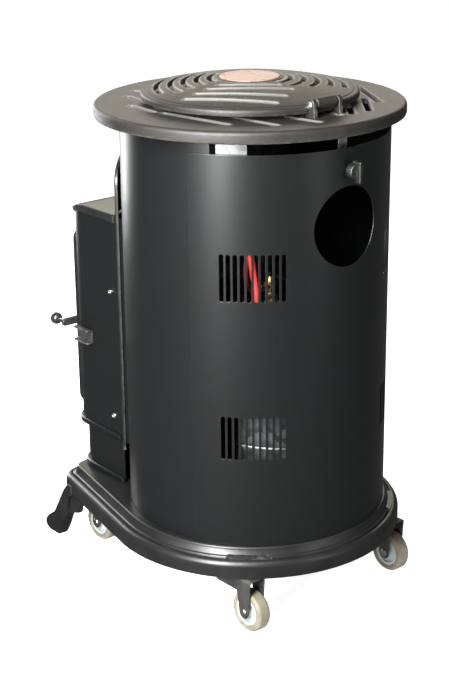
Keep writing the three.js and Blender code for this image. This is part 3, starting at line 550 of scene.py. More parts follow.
def make_slab(name, loops, place, spacing, slot, body=HEATER, nodes=(), **shading):
    """A closed solid between two skins of a flat region that place() bends into space.

    loops holds (outline, front rings, back rings); the outer outline runs anticlockwise, holes the
    other way. Rings are (inset, outwards) pairs from the wall towards the middle of the skin.
    place(u, v, outwards) returns points in space.
    """
    points, faces, wear_and_highlight = [], [], []
    total = 0
    ends = {"front": [], "back": []}
    for number, (outline, front, back) in enumerate(loops):
        starts = []
        chain = list(reversed(back)) + list(front)
        for inset, outwards in chain:
            ring = offset(outline, inset)
            starts.append(total)
            points.append(place(ring[:, 0], ring[:, 1], np.full(len(ring), outwards)))
            # Hole walls get 1 and the outer outline 0: rubbed paint and painted highlight on the hole walls.
            wear_and_highlight.append(np.full(len(ring), min(number, 1.0)))
            total += len(ring)
        count = len(outline)
        for a, b in zip(starts[:-1], starts[1:]):
            faces += [(a + i, a + (i + 1) % count, b + (i + 1) % count, b + i) for i in range(count)]
        ends["back"].append((offset(outline, chain[0][0]), starts[0], chain[0][1]))
        ends["front"].append((offset(outline, chain[-1][0]), starts[-1], chain[-1][1]))
    for side, rings in ends.items():
        flat, triangles = fill([ring for ring, _, _ in rings], spacing)
        index = np.concatenate([start + np.arange(len(ring)) for ring, start, _ in rings])
        edge_count = len(index)
        extra = flat[edge_count:]
        index = np.concatenate([index, total + np.arange(len(extra))]).astype(int)
        points.append(place(extra[:, 0], extra[:, 1], np.full(len(extra), rings[0][2])))
        wear_and_highlight.append(np.zeros(len(extra)))
        total += len(extra)
        ordered = triangles if side == "front" else triangles[:, ::-1]
        faces += index[ordered].tolist()
    return add_mesh(name, np.concatenate(points), faces, slot, body, nodes, wear_and_highlight=np.concatenate(wear_and_highlight),
                    **shading)


def sheet_loop(outline, thick=SHEET, edge=0.45):
    """An outline with both edges of a thin sheet slightly rounded."""
    return outline, fillet(edge, 0, 2), fillet(edge, -thick, 2, down=1)


def flat_z(u, v, w):
    return np.stack([u, v, w], 1)


def along_x(u, v, w):
    """Outlines drawn as (Y, Z); outwards is +X."""
    return np.stack([w, u, v], 1)


def along_y(u, v, w):
    """Outlines drawn as (X, Z); outwards is -Y."""
    return np.stack([u, -w, v], 1)


def wrapped(path, plane="XY"):
    """place() for a sheet bent along a path: u runs along it, v across it.

    Outwards is to the right of the path in XY and YZ, and to its left in XZ.
    """
    path = np.asarray(path, float)
    steps = np.diff(path, axis=0)
    lengths = np.concatenate([[0], np.cumsum(np.linalg.norm(steps, axis=1))])
    unit = steps / np.linalg.norm(steps, axis=1)[:, None]
    tangent = np.concatenate([unit[:1], (unit[1:] + unit[:-1]) / 2, unit[-1:]])
    tangent /= np.linalg.norm(tangent, axis=1)[:, None]
    side = np.stack([tangent[:, 1], -tangent[:, 0]], 1) * (-1 if plane == "XZ" else 1)

    def place(u, v, w):
        first = np.interp(u, lengths, path[:, 0]) + np.interp(u, lengths, side[:, 0]) * w
        second = np.interp(u, lengths, path[:, 1]) + np.interp(u, lengths, side[:, 1]) * w
        columns = {"XY": (first, second, v), "XZ": (first, v, second), "YZ": (v, first, second)}[plane]
        return np.stack(columns, 1)

    return place, lengths


def turned(name, profile, slot, x=0, y=0, steps=64, body=HEATER, nodes=(), axis="Z", at=(0, 0, 0),
           **shading):
    """A solid turned from a closed (radius, height) profile about an axis through x, y or at."""
    profile = np.asarray(profile, float)
    on_axis = profile[:, 0] < 1e-6
    angles = np.radians(np.arange(steps) * 360 / steps)
    points, index = [], []
    for (radius, height), single in zip(profile, on_axis):
        ring = [(0, 0, height)] if single else [
            (radius * math.cos(a), radius * math.sin(a), height) for a in angles]
        index.append([len(points) + i for i in range(len(ring))])
        points += ring
    faces = []
    count = len(profile)
    for k in range(count):
        a, b = index[k], index[(k + 1) % count]
        if len(a) == 1 and len(b) == 1:
            continue
        for i in range(steps):
            j = (i + 1) % steps
            quad = [a[i % len(a)], a[j % len(a)], b[j % len(b)], b[i % len(b)]]
            faces.append(list(dict.fromkeys(quad)))
    points = np.array(points)
    if axis == "X":
        points = points[:, [2, 0, 1]]
    if axis == "Y":
        points = points[:, [1, 2, 0]]
    points = points + np.array(at, float) + np.array([x, y, 0])
    return add_mesh(name, points, faces, slot, body, nodes, **shading)


def swept(name, route, radius, slot, steps=20, body=HEATER, nodes=(), **shading):
    """A round tube along a smooth route, closed flat at both ends."""
    route = np.asarray(route, float)
    tangent = np.gradient(route, axis=0)
    tangent /= np.linalg.norm(tangent, axis=1)[:, None]
    across = np.cross(tangent[0], (0.3, 0.2, 1.0))
    points, count = [], len(route)
    for k in range(count):
        across = across - tangent[k] * (across @ tangent[k])
        across /= np.linalg.norm(across)
        other = np.cross(tangent[k], across)
        for i in range(steps):
            a = 2 * math.pi * i / steps
            points.append(route[k] + radius * (across * math.cos(a) + other * math.sin(a)))
    faces = [[k * steps + i, k * steps + (i + 1) % steps, (k + 1) * steps + (i + 1) % steps,
              (k + 1) * steps + i]
             for k in range(count - 1) for i in range(steps)]
    faces.append(list(range(steps - 1, -1, -1)))
    faces.append([(count - 1) * steps + i for i in range(steps)])
    return add_mesh(name, points, faces, slot, body, nodes, **shading)


def smooth_curve(points, steps=12):
    """A Catmull-Rom curve through points."""
    points = np.asarray(points, float)
    padded = np.concatenate([[2 * points[0] - points[1]], points, [2 * points[-1] - points[-2]]])
    made = []
    for i in range(1, len(padded) - 2):
        p0, p1, p2, p3 = padded[i - 1:i + 3]
        for k in range(steps):
            t = k / steps
            made.append(0.5 * (2 * p1 + (p2 - p0) * t + (2 * p0 - 5 * p1 + 4 * p2 - p3) * t ** 2
                               + (3 * p1 - p0 - 3 * p2 + p3) * t ** 3))
    made.append(points[-1])
    return np.array(made)


def dense(outline, step, along=0):
    """Adds points to long straight edges, so that a bent sheet follows its curve."""
    made = []
    for start, end in zip(outline, np.roll(outline, -1, 0)):
        count = max(1, math.ceil(abs(end[along] - start[along]) / step))
        made += [start + (end - start) * k / count for k in range(count)]
    return np.array(made)


def slot_shape(low, high, width, middle, steps=8):
    """An upright slot with round ends, as a hole outline."""
    half = width / 2
    return np.concatenate([
        arc(middle, low + half, half, 180, 360, steps),
        arc(middle, high - half, half, 0, 180, steps),
    ])[::-1]


# ------------------------------------------------------------------ top plate and lid
PLATE_LOW, PLATE_HIGH = span("top_plate")
PLATE_RADIUS = PLATE_HIGH.x
PLATE_Y = PLATE_LOW.y + PLATE_RADIUS
PLATE_TOP = next(m["pos_m"][2] for m in frame["record"]["mounts"] if m["name"] == "top_rim") / MM
PLATE_SKIN = 7
PLATE_SLOT = 9
PLATE_OPENING = 118                   # radius of the hole under the lid
LUG_EDGES = (19.5, 26.5)              # inner and outer side of a hinge lug
SLOT_UNIT = 190                       # slot ends are given as fractions of this radius
PLATE_SLOTS = (
    (0.59, -0.70, 0.64, -0.42), (0.785, -0.40, 0.81, -0.11), (0.775, -0.02, 0.70, 0.57),
    (0.52, 0.44, 0.47, 0.81), (0.24, 0.66, 0.19, 0.935), (-0.055, 0.68, -0.085, 0.86),
    (-0.18, 0.88, -0.41, 0.61), (-0.34, 0.89, -0.61, 0.57), (-0.62, 0.71, -0.92, 0.20),
    (-0.71, 0.14, -0.79, -0.24), (-0.69, -0.17, -0.71, -0.55), (-0.50, -0.48, -0.49, -0.80),
    (-0.24, -0.66, -0.20, -0.93), (0.04, -0.68, 0.10, -0.94), (0.30, -0.62, 0.42, -0.84),
)
HINGE = next(j["pos_m"] for j in frame["joints"] if j["name"] == "lid_hinge")
HINGE_Y = (HINGE[1] - AXIS_Y) / MM
HINGE_Z = HINGE[2] / MM


def straight_slot(x0, y0, x1, y1, width):
    angle = math.degrees(math.atan2(y1 - y0, x1 - x0))
    return np.concatenate([
        arc(x1, y1, width / 2, angle - 90, angle + 90, 8),
        arc(x0, y0, width / 2, angle + 90, angle + 270, 8),
    ])[::-1]


def make_top_plate():
    bottom = PLATE_LOW.z - PLATE_TOP
    skirt = [(0, bottom + 3), (0.9, bottom + 0.9), (3, bottom), (8, bottom), (9.6, bottom + 1.6),
             (10, bottom + 4), (10, -PLATE_SKIN - 3), (11, -PLATE_SKIN - 0.9), (13, -PLATE_SKIN)]
    back = [(0, -PLATE_SKIN + 0.8), (0.25, -PLATE_SKIN + 0.25), (0.8, -PLATE_SKIN)]
    loops = [(circle(0, 0, PLATE_RADIUS, 180), fillet(5.5, 0, 6), skirt),
             (circle(0, 0, PLATE_OPENING, 120)[::-1], fillet(1.5), back)]
    for ends in PLATE_SLOTS:
        outline = straight_slot(*(end * SLOT_UNIT for end in ends), PLATE_SLOT)
        loops.append((dense(outline, 6, 0), fillet(1.4), back))
    make_slab("top_plate_casting", loops, lambda u, v, w: flat_z(u, v + PLATE_Y, w + PLATE_TOP), (5, 5),
              "cast_top", nodes=["top_plate"])
    for name, side in SIDES:
        near, far = sorted(side * edge for edge in LUG_EDGES)
        outline = rounded([(HINGE_Y - 9, PLATE_TOP - 2), (HINGE_Y + 9, PLATE_TOP - 2),
                           (HINGE_Y + 7.6, HINGE_Z + 7.6), (HINGE_Y - 7.6, HINGE_Z + 7.6)], [0, 0, 7.4, 7.4],
                          8)
        make_slab(f"hinge_lug_{name}", [(outline, fillet(1.6, far), fillet(1.6, near, down=1))],
                  along_x, (4, 4), "cast_top")


LID_RADIUS = span("lid")[1].x
LID_CROWN = span("lid_disc")[1].z - 0.4
LID_RIM_TOP = 727
DISC_RADIUS = 42
RING_RADIUS = 47.5
LID_SAG = LID_CROWN - LID_RIM_TOP
DOME_RADIUS = ((LID_RADIUS - 3) ** 2 + LID_SAG ** 2) / (2 * LID_SAG)
LID_SLOT = 7
LID_SLOT_FIRST, LID_SLOT_PITCH = 57, 18.5
LID_QUARTERS = (
    ((11, 9, 8, 8, 8), (85, 88, 74, 64, 52), 0.75, 1.16),
    ((98, 98, 112, 126, 132), (168, 170, 171, 172, 166), 0, 1),
    ((192, 190, 189, 188, 196), (256, 259, 260, 261, 250), 0, 1),
    ((284, 281, 280, 279, 288), (348, 351, 352, 352, 342), 0.1, 1),
)


def curved_slot(radius, start, end, width, flat, steps=14):
    """A hole outline along an arc about the lid's centre; flat = 1 makes it a straight chord."""
    share = np.linspace(0, 1, steps + 1)
    angles = np.radians(start + (end - start) * share)
    bent = np.stack([np.cos(angles), np.sin(angles)], 1) * radius
    line = bent * (1 - flat) + (bent[0] + (bent[-1] - bent[0]) * share[:, None]) * flat
    ahead = np.gradient(line, axis=0)
    ahead /= np.linalg.norm(ahead, axis=1)[:, None]
    side = np.stack([-ahead[:, 1], ahead[:, 0]], 1) * width / 2
    cap = lambda at, heading: arc(*at, width / 2, heading - 90, heading + 90, 8)[1:-1]
    first = math.degrees(math.atan2(*ahead[0][::-1]))
    last = math.degrees(math.atan2(*ahead[-1][::-1]))
    return np.concatenate([line - side, cap(line[-1], last), (line + side)[::-1],
                           cap(line[0], first + 180)])[::-1]


def dome_height(u, v):
    radius = np.minimum(np.hypot(u, v), LID_RADIUS)
    dome = LID_CROWN - DOME_RADIUS + np.sqrt(DOME_RADIUS ** 2 - radius ** 2)
    groove = np.exp(-((radius - LID_RADIUS + 7.2) / 1.1) ** 2)
    return dome - 0.9 * groove


def on_dome(u, v, w):
    return np.stack([u, v + PLATE_Y, dome_height(u, v) + w], 1)


def make_lid():
    rim_bottom = LID_RIM_TOP - 10 - dome_height(np.array([LID_RADIUS]), np.array([0.0]))[0]
    rim_rings = fillet(3.2, 0, 6) + [(4.6, 0), (5.6, 0), (6.4, 0), (7.2, 0), (8, 0), (8.8, 0), (9.8, 0)]
    rim_back = [(0, rim_bottom + 2.4), (0.7, rim_bottom + 0.7), (2.4, rim_bottom), (7, rim_bottom),
                (9, rim_bottom)]
    slot_back = [(0, rim_bottom + 0.7), (0.7, rim_bottom)]
    loops = [(circle(0, 0, LID_RADIUS, 180), rim_rings, rim_back),
             (circle(0, 0, RING_RADIUS, 96)[::-1], fillet(0.8), slot_back)]
    for starts, ends, flat, stretch in LID_QUARTERS:
        for i, (start, end) in enumerate(zip(starts, ends)):
            radius = (LID_SLOT_FIRST + LID_SLOT_PITCH * i) * stretch
            if radius <= LID_RADIUS - 14:
                outline = curved_slot(radius, start, end, LID_SLOT, flat)
                loops.append((outline, fillet(1.3), slot_back))
    make_slab("lid_casting", loops, on_dome, (4, 4), "cast_top", "lid", ["lid"])

    inner = dome_height(np.array([RING_RADIUS]), np.array([0.0]))[0]
    floor = LID_CROWN - 1.9
    turned("lid_disc_seat", [
        (0, inner - 9), (RING_RADIUS - 0.3, inner - 9), (RING_RADIUS - 0.3, inner - 0.4),
        (RING_RADIUS - 0.6, inner + 0.3), (RING_RADIUS - 1.5, inner + 0.8), (RING_RADIUS - 2.8, inner + 0.9),
        (RING_RADIUS - 3.9, inner + 0.5), (DISC_RADIUS + 0.8, floor + 0.5), (DISC_RADIUS + 0.7, floor),
        (0, floor)],
        "cast_top", y=PLATE_Y, steps=96, body="lid")
    for number, angle in enumerate((210, 330)):
        foot = (138 * math.cos(math.radians(angle)), 138 * math.sin(math.radians(angle)))
        turned(f"lid_foot_{number}",
               [(0, PLATE_TOP + 0.3), (4, PLATE_TOP + 0.3), (5, PLATE_TOP + 1.3), (5, 721), (0, 721)],
               "cast_top", foot[0], foot[1] + PLATE_Y, 24, "lid")


def make_lid_hinge():
    profile = [(3.3, -18.5), (6.6, -18.5), (7.6, -17.6), (8, -16), (8, 16), (7.6, 17.6), (6.6, 18.5),
               (3.3, 18.5)]
    turned("lid_barrel", profile, "cast_top", steps=40, body="lid", axis="X", at=(0, HINGE_Y, HINGE_Z))
    root = rounded([(HINGE_Y - 22, 720), (HINGE_Y - 3, 719), (HINGE_Y - 3, HINGE_Z + 7.2),
                    (HINGE_Y - 27, HINGE_Z)], [0, 0, 6, 0], 6)
    make_slab("lid_tongue", [(root, fillet(2.5, 17.5), fillet(2.5, -17.5, down=1))], along_x, (5, 5),
              "cast_top", "lid")
    turned("hinge_pin",
           [(0, -27.4), (2.2, -27.4), (3, -26.8), (3, 26.8), (5, 26.8), (5, 28.2), (3.6, 29), (0, 29)],
           "bright_steel", steps=28, nodes=["lid_hinge_pin"], axis="X", at=(0, HINGE_Y, HINGE_Z))


def make_disc():
    low, high = span("lid_disc")
    top = high.z
    turned("disc_inlay", [
        (0, low.z), (DISC_RADIUS - 0.6, low.z), (DISC_RADIUS, low.z + 0.5), (DISC_RADIUS, top - 0.9),
        (DISC_RADIUS - 0.6, top - 0.4), (DISC_RADIUS - 3, top - 0.1), (DISC_RADIUS - 5, top),
        (DISC_RADIUS - 7, top - 0.2), (DISC_RADIUS - 9, top - 0.5), (0, top - 0.35)],
        "copper_disc", y=PLATE_Y, steps=96, body="lid", nodes=["lid_disc"])


# ------------------------------------------------------------------ casing and rear cover
CASING_OPEN = (31, 149)               # the casing is open behind the rear cover between these angles
COVER_HALF_ANGLE = 69
COVER_LOW, COVER_HIGH = span("rear_cover")
PORT_RADIUS = 55
PORT_Z = 570
LINER_RADIUS = 183.4
LINER_ANGLES = (33, 46)
KNOB_Z = (span("cover_knob")[0].z + span("cover_knob")[1].z) / 2
COVER_SLOT_ROWS = ((252, 314.5), (479, 544))
COVER_SLOT_ANGLE = 42
COVER_SLOT_PITCH = 2.8
COVER_SLOT_COUNT = 10
COVER_SLOT_WIDTH = 5.7


def make_casing():
    low, high = span("casing_shell")
    start = CASING_OPEN[1] - 360
    place, lengths = wrapped(arc(0, 0, CASING_RADIUS, start, CASING_OPEN[0], 242))
    at = lambda angle: np.interp(angle, np.linspace(start, CASING_OPEN[0], 243), lengths)
    half = span("bay_housing")[1].x + 1
    notch = math.degrees(math.asin(half / CASING_RADIUS))
    notch_top = span("bay_hood")[1].z + 0.6
    outline = dense(rounded([
        (0, low.z), (at(-90 - notch), low.z), (at(-90 - notch), notch_top), (at(-90 + notch), notch_top),
        (at(-90 + notch), low.z), (lengths[-1], low.z), (lengths[-1], high.z), (0, high.z)],
        [3, 1, 3, 3, 1, 3, 3, 3]), 4)
    make_slab("casing_sheet", [sheet_loop(outline)], place, (4, 26), "black_steel", nodes=["casing_shell"])


def make_rear_cover():
    first = 90 - COVER_HALF_ANGLE
    place, lengths = wrapped(arc(0, 0, COVER_RADIUS, first, 180 - first, 184))
    at = lambda angle: np.interp(angle, np.linspace(first, 180 - first, 185), lengths)
    outline = dense(rounded([
        (0, COVER_LOW.z), (lengths[-1], COVER_LOW.z), (lengths[-1], COVER_HIGH.z), (0, COVER_HIGH.z)],
        [1, 1, 8, 8]), 4)
    loops = [sheet_loop(outline)]

    def round_hole(radius, z, steps):
        around = circle(0, z, radius, steps)[::-1]
        around[:, 0] = at(90 - np.degrees(np.arcsin(around[:, 0] / COVER_RADIUS)))
        return around[::-1]

    loops.append(sheet_loop(round_hole(PORT_RADIUS, PORT_Z, 96)))
    loops.append(sheet_loop(round_hole(4.3, KNOB_Z, 20), edge=0.3))
    for _, side in SIDES:
        for low, high in COVER_SLOT_ROWS:
            for i in range(COVER_SLOT_COUNT):
                step = i - (COVER_SLOT_COUNT - 1) / 2
                angle = 90 - side * (COVER_SLOT_ANGLE + step * COVER_SLOT_PITCH)
                outline = slot_shape(low, high, COVER_SLOT_WIDTH, at(angle))
                loops.append(sheet_loop(dense(outline, 12, 1)))
    make_slab("rear_cover_sheet", loops, place, (4, 22), "black_steel", "rear_cover", ["rear_cover"])


def make_cover_knob():
    low, high = span("cover_knob")
    centre = (0, 0, KNOB_Z)
    grip = high.y
    face = grip - 7.5
    turned("knob_round", [
        (0, low.y), (3.8, low.y), (4, low.y + 0.3), (4, 192), (10, 192.3), (10.4, 193), (10.4, 195),
        (11.9, 195.4),
        (12.5, 196.2), (12.5, face - 1.4), (11.9, face - 0.5), (10.6, face), (0, face)],
        "knob_metal", steps=64, body="cover_knob", nodes=["cover_knob"], axis="Y", at=centre)
    bar = rectangle(-3.6, 3.6, KNOB_Z - 15.5, KNOB_Z + 15.5, 3.2, 8)
    make_slab("knob_bar", [(bar, fillet(1.6, -face + 8), fillet(1.6, -grip, down=1))], along_y, (3, 3),
              "knob_metal", "cover_knob")
    turned("knob_washer", [(4.2, 178), (7, 178), (7, 184.5), (4.2, 184.5)], "bright_steel", steps=32,
           body="cover_knob", axis="Y", at=centre)
    tongue = rectangle(-6, 6, KNOB_Z - 7, KNOB_Z + 29, 5.5, 8)
    make_slab("knob_tongue", [(tongue, fillet(0.4, -180, 2), fillet(0.4, -182.5, 2, down=1))], along_y,
              (5, 5),
              "bright_steel", "cover_knob", ["cover_knob_tongue"])


def make_catch_and_liner():
    low, high = span("cover_catch")
    path = rounded([(high.y - 1, low.z), (high.y - 1, high.z - 1), (low.y, high.z - 1)], 2.5, 5,
                   closed=False)
    place, lengths = wrapped(path, "YZ")
    outline = rounded([(0, low.x), (lengths[-1], low.x), (lengths[-1], high.x), (0, high.x)], [5, 1, 1, 5])
    make_slab("catch_strap", [sheet_loop(dense(outline, 1.5), 1.4, 0.3)], place, (3, 4), "bright_steel",
              nodes=["cover_catch"])
    place, lengths = wrapped(arc(0, 0, LINER_RADIUS, *LINER_ANGLES, 24))
    low, high = span("upper_liner")
    outline = rounded([(0, low.z), (lengths[-1], low.z), (lengths[-1], high.z), (0, high.z)], 4)
    make_slab("liner_strip", [sheet_loop(dense(outline, 4), 1.1, 0.3)], place, (4, 12), "galvanised_steel",
              nodes=["upper_liner"])


# ------------------------------------------------------------------ plinth, legs and casters
BASE_Y = -8
BASE_FLANK = 12.4
BASE_FLANK_LENGTH = 200
BASE_CORNER = 38
BASE_LOW, BASE_HIGH = span("base_plinth")
BASE_RADIUS = BASE_HIGH.x
BASE_FRONT = -292
MIDDLE_Y, MIDDLE_RADIUS = -60, 60     # the round piece that closes the middle of the plinth


def base_outline(inset):
    """Plan outline of the plinth, anticlockwise, with the same points at every inset."""
    reach = BASE_RADIUS - BASE_CORNER
    flank = math.radians(BASE_FLANK)
    corner_x = reach * math.cos(flank) - BASE_FLANK_LENGTH * math.sin(flank)
    corner_y = BASE_Y - reach * math.sin(flank) - BASE_FLANK_LENGTH * math.cos(flank)
    bow = -BASE_FRONT - BASE_CORNER
    bow_y = (corner_x ** 2 + corner_y ** 2 - bow ** 2) / (2 * bow + 2 * corner_y)
    lean = math.degrees(math.atan2(corner_x, bow_y - corner_y))
    corner = BASE_CORNER - inset
    parts = [
        arc(0, BASE_Y, BASE_RADIUS - inset, -BASE_FLANK, 180 + BASE_FLANK, 120),
        arc(-corner_x, corner_y, corner, 180 + BASE_FLANK, 270 - lean, 16),
        arc(0, bow_y, bow_y - BASE_FRONT - inset, 270 - lean, 270 + lean, 24)[1:-1],
        arc(corner_x, corner_y, corner, 270 + lean, 360 - BASE_FLANK, 16),
    ]
    return np.concatenate(parts)


def lofted(name, rings, slot, **options):
    """A closed solid through rings of equal length; the last ring joins the first."""
    count, size = len(rings), len(rings[0])
    faces = [[k * size + i, k * size + (i + 1) % size, (k + 1) % count * size + (i + 1) % size,
              (k + 1) % count * size + i] for k in range(count) for i in range(size)]
    return add_mesh(name, np.concatenate(rings), faces, slot, **options)


def make_plinth():
    low, deck = BASE_LOW.z, BASE_HIGH.z
    shoulder = 108
    profile = [(9, low + 1), (8.2, low), (1.6, low), (0.5, low + 0.5), (0, low + 1.8)]
    profile += [(0, shoulder - 10.5)]
    profile += [(9 * (1 - math.cos(a)),
                 shoulder - 9 + 9 * math.sin(a)) for a in np.radians(np.linspace(8, 90, 9))]
    profile += [(9.6, shoulder - 1.5), (10.2, shoulder - 2), (10.9, shoulder - 1.2), (11.2, shoulder + 0.6),
                (12, shoulder + 2), (13.4, shoulder + 2.4), (15, shoulder + 3), (18.2, deck - 4.2)]
    profile += [(18.4 + 3.4 * (1 - math.cos(a)), deck - 3.4 + 3.4 * math.sin(a))
                for a in np.radians(np.linspace(12, 90, 8))]
    profile += [(22.6, deck), (150, deck), (150, deck - 9), (24, deck - 9), (24, 98), (9, 97)]
    rings = []
    for inset, height in profile:
        if inset > BASE_CORNER:
            count = len(base_outline(0))
            ring = arc(0, MIDDLE_Y, MIDDLE_RADIUS, -BASE_FLANK, 360 - BASE_FLANK, count)[:-1]
        else:
            ring = base_outline(inset)
        rings.append(np.column_stack([ring, np.full(len(ring), height)]))
    lofted("plinth_casting", rings, "black_enamel", nodes=["base_plinth"], crease=50)
    middle = circle(0, MIDDLE_Y, MIDDLE_RADIUS + 1.5, 64)
    make_slab("plinth_middle", [(middle, fillet(0.5, deck - 0.2, 2), fillet(0.5, deck - 8.6, 2, down=1))],
              flat_z, (20, 20), "black_enamel")


def make_pads():
    """Cast pads under the plinth that the casters and legs are bolted to."""
    low = BASE_LOW.z
    for name, side in SIDES:
        for place_name, x, y, reach_x, reach_y in (("rear", 139, 147, 23, 26), ("front", 126, -198, 26, 26)):
            outline = rectangle(side * x - reach_x, side * x + reach_x, y - reach_y, y + reach_y, 0.01, 1)
            outline = outline[np.linalg.norm(np.roll(outline, -1, 0) - outline, axis=1) > 0.1]
            outline = dense(dense(outline, 4, 0), 4, 1)
            middle = np.array([0, BASE_Y])
            distance = np.linalg.norm(outline - middle, axis=1)[:, None]
            outline = middle + (outline - middle) * np.minimum(1, (BASE_RADIUS - 8.6) / distance)
            within = np.abs(outline - (side * x, y)) < (reach_x + 0.01, reach_y + 0.01)
            outline = outline[within.all(1)]
            make_slab(f"pad_{place_name}_{name}", [(outline, [(0, 112)], [(0, low + 0.4)])], flat_z,
                      (12, 12), "black_enamel")


LEG_OUTLINE = (
    (-236, 97), (-248, 97.3), (-258, 86), (-288, 37), (-301, 28), (-310.5, 19.5), (-313.7, 13), (-311, 5),
    (-300, 0), (-277, 0), (-266, 17), (-256, 37), (-250, 60), (-247, 74), (-236, 82),
)
LEG_CORNERS = (0, 9, 14, 6, 14, 8, 5, 5, 5, 0, 8, 14, 20, 14, 0)
GUSSET_OUTLINE = ((-249, 84), (-249, 46), (-225, 54), (-221, 68), (-221, 84))


def make_legs():
    for name, side in SIDES:
        low, high = span(f"front_leg_{name}")
        outline = rounded(LEG_OUTLINE, LEG_CORNERS, 5)
        make_slab(f"leg_{name}", [(outline, fillet(2.8, high.x, 5), fillet(2.8, low.x, 5, down=1))], along_x,
                  (6, 6),
                  "black_enamel", nodes=[f"front_leg_{name}"])
        middle = (low.x + high.x) / 2
        make_slab(f"leg_gusset_{name}", [(rounded(GUSSET_OUTLINE, [0, 4, 4, 4, 0]), fillet(1.2, middle + 4),
                                          fillet(1.2, middle - 4, down=1))], along_x, (6, 6), "black_enamel")


def locate(path, lengths, point):
    """Distance along a path to its point nearest to this one."""
    best = (float("inf"), 0)
    for start, end, base in zip(path[:-1], path[1:], lengths):
        along = end - start
        share = np.clip((np.array(point) - start) @ along / (along @ along), 0, 1)
        best = min(best,
                   (np.linalg.norm(point - start - along * share), base + share * np.linalg.norm(along)))
    return best[1]


WHEEL_RADIUS = 30
WHEEL_HALF = 10.5
HUB_RADIUS = 20.6
AXLE_RADIUS = 4
CHEEK = 14.5                          # outer face of the fork's cheeks from the wheel's middle
BRACKET_TOP = 51.7                    # mounting face above the axle
CASTERS = [(row, name, side) for row in ("rear", "front") for name, side in SIDES]


def wheel_centre(row, name):
    low, high = span(f"{row}_wheel_tyre_{name}")
    return (low + high) / 2


def make_wheel(row, name):
    centre = wheel_centre(row, name)
    body = f"{row}_wheel_{name}"
    half, rim = WHEEL_HALF, HUB_RADIUS
    tyre = rounded([(rim, -half + 1.2), (rim + 2.2, -half + 1.2), (rim + 3, -half),
                    (WHEEL_RADIUS - 2.5, -half),
                    (WHEEL_RADIUS, -half + 3.5), (WHEEL_RADIUS, half - 3.5), (WHEEL_RADIUS - 2.5, half),
                    (rim + 3, half), (rim + 2.2, half - 1.2), (rim, half - 1.2)],
                   [0.3, 0.4, 0.8, 2.4, 2.6, 2.6, 2.4, 0.8, 0.4, 0.3], 4)
    turned(f"{row}_tyre_{name}", tyre, "wheel_tyre", steps=72, body=body,
           nodes=[f"{row}_wheel_tyre_{name}"], axis="X", at=centre)
    bore = AXLE_RADIUS + 0.3
    outer = rim - 0.1
    hub = rounded([(bore, -half), (7.6, -half), (8.4, -half + 4), (outer - 4.4, -half + 4.6),
                   (outer - 3.4, -half + 0.9),
                   (outer, -half + 0.9), (outer, half - 0.9), (outer - 3.4, half - 0.9),
                   (outer - 4.4, half - 4.6),
                   (8.4, half - 4), (7.6, half), (bore, half)],
                  [0.3, 0.8, 1.5, 1.5, 0.8, 0.5, 0.5, 0.8, 1.5, 1.5, 0.8, 0.3], 3)
    turned(f"{row}_hub_{name}", hub, "wheel_hub", steps=56, body=body,
           nodes=[f"{row}_wheel_hub_{name}"], axis="X", at=centre)
    shaft = CHEEK + 0.3
    pin = [(0, -shaft - 2), (4.2, -shaft - 2), (5.6, -shaft - 1.2), (6, -shaft), (AXLE_RADIUS, -shaft),
           (AXLE_RADIUS, shaft), (6, shaft), (5.6, shaft + 1.2), (4.2, shaft + 2), (0, shaft + 2)]
    turned(f"{row}_axle_{name}", pin, "bright_steel", steps=32, body=axle_body(row, name),
           nodes=[f"{row}_axle_pin_{name}"], axis="X", at=centre)


def axle_body(row, name):
    return HEATER if row == "rear" else f"front_caster_{name}"


def placed_at(place, centre):
    return lambda u, v, w: place(u, v, w) + np.array(centre)


def make_bracket(name, node, outline, top, centre, body):
    """A U-shaped fork bent from one blank; the outline is drawn as (place on the fork's path, Y)."""
    path = fork_path(top)
    place, lengths = wrapped(path, "XZ")
    bore = AXLE_RADIUS + 0.5
    loops = [sheet_loop(dense(outline, 2.5), 2.5, 0.5)]
    for x in (-CHEEK, CHEEK):
        loops.append(sheet_loop(circle(locate(path, lengths, (x, 0)), 0, bore, 20)[::-1], 2.5, 0.3))
    if body != HEATER:
        loops.append(sheet_loop(circle(lengths[-1] / 2, FORK_TRAIL, 5.6, 24)[::-1], 2.5, 0.3))
    make_slab(name, loops, placed_at(place, centre), (4, 4), "black_fittings", body, [node])


def fork_path(top):
    return rounded([(-CHEEK, -9.4), (-CHEEK, top), (CHEEK, top), (CHEEK, -9.4)], 4, 6, closed=False)


FORK_TRAIL = 24


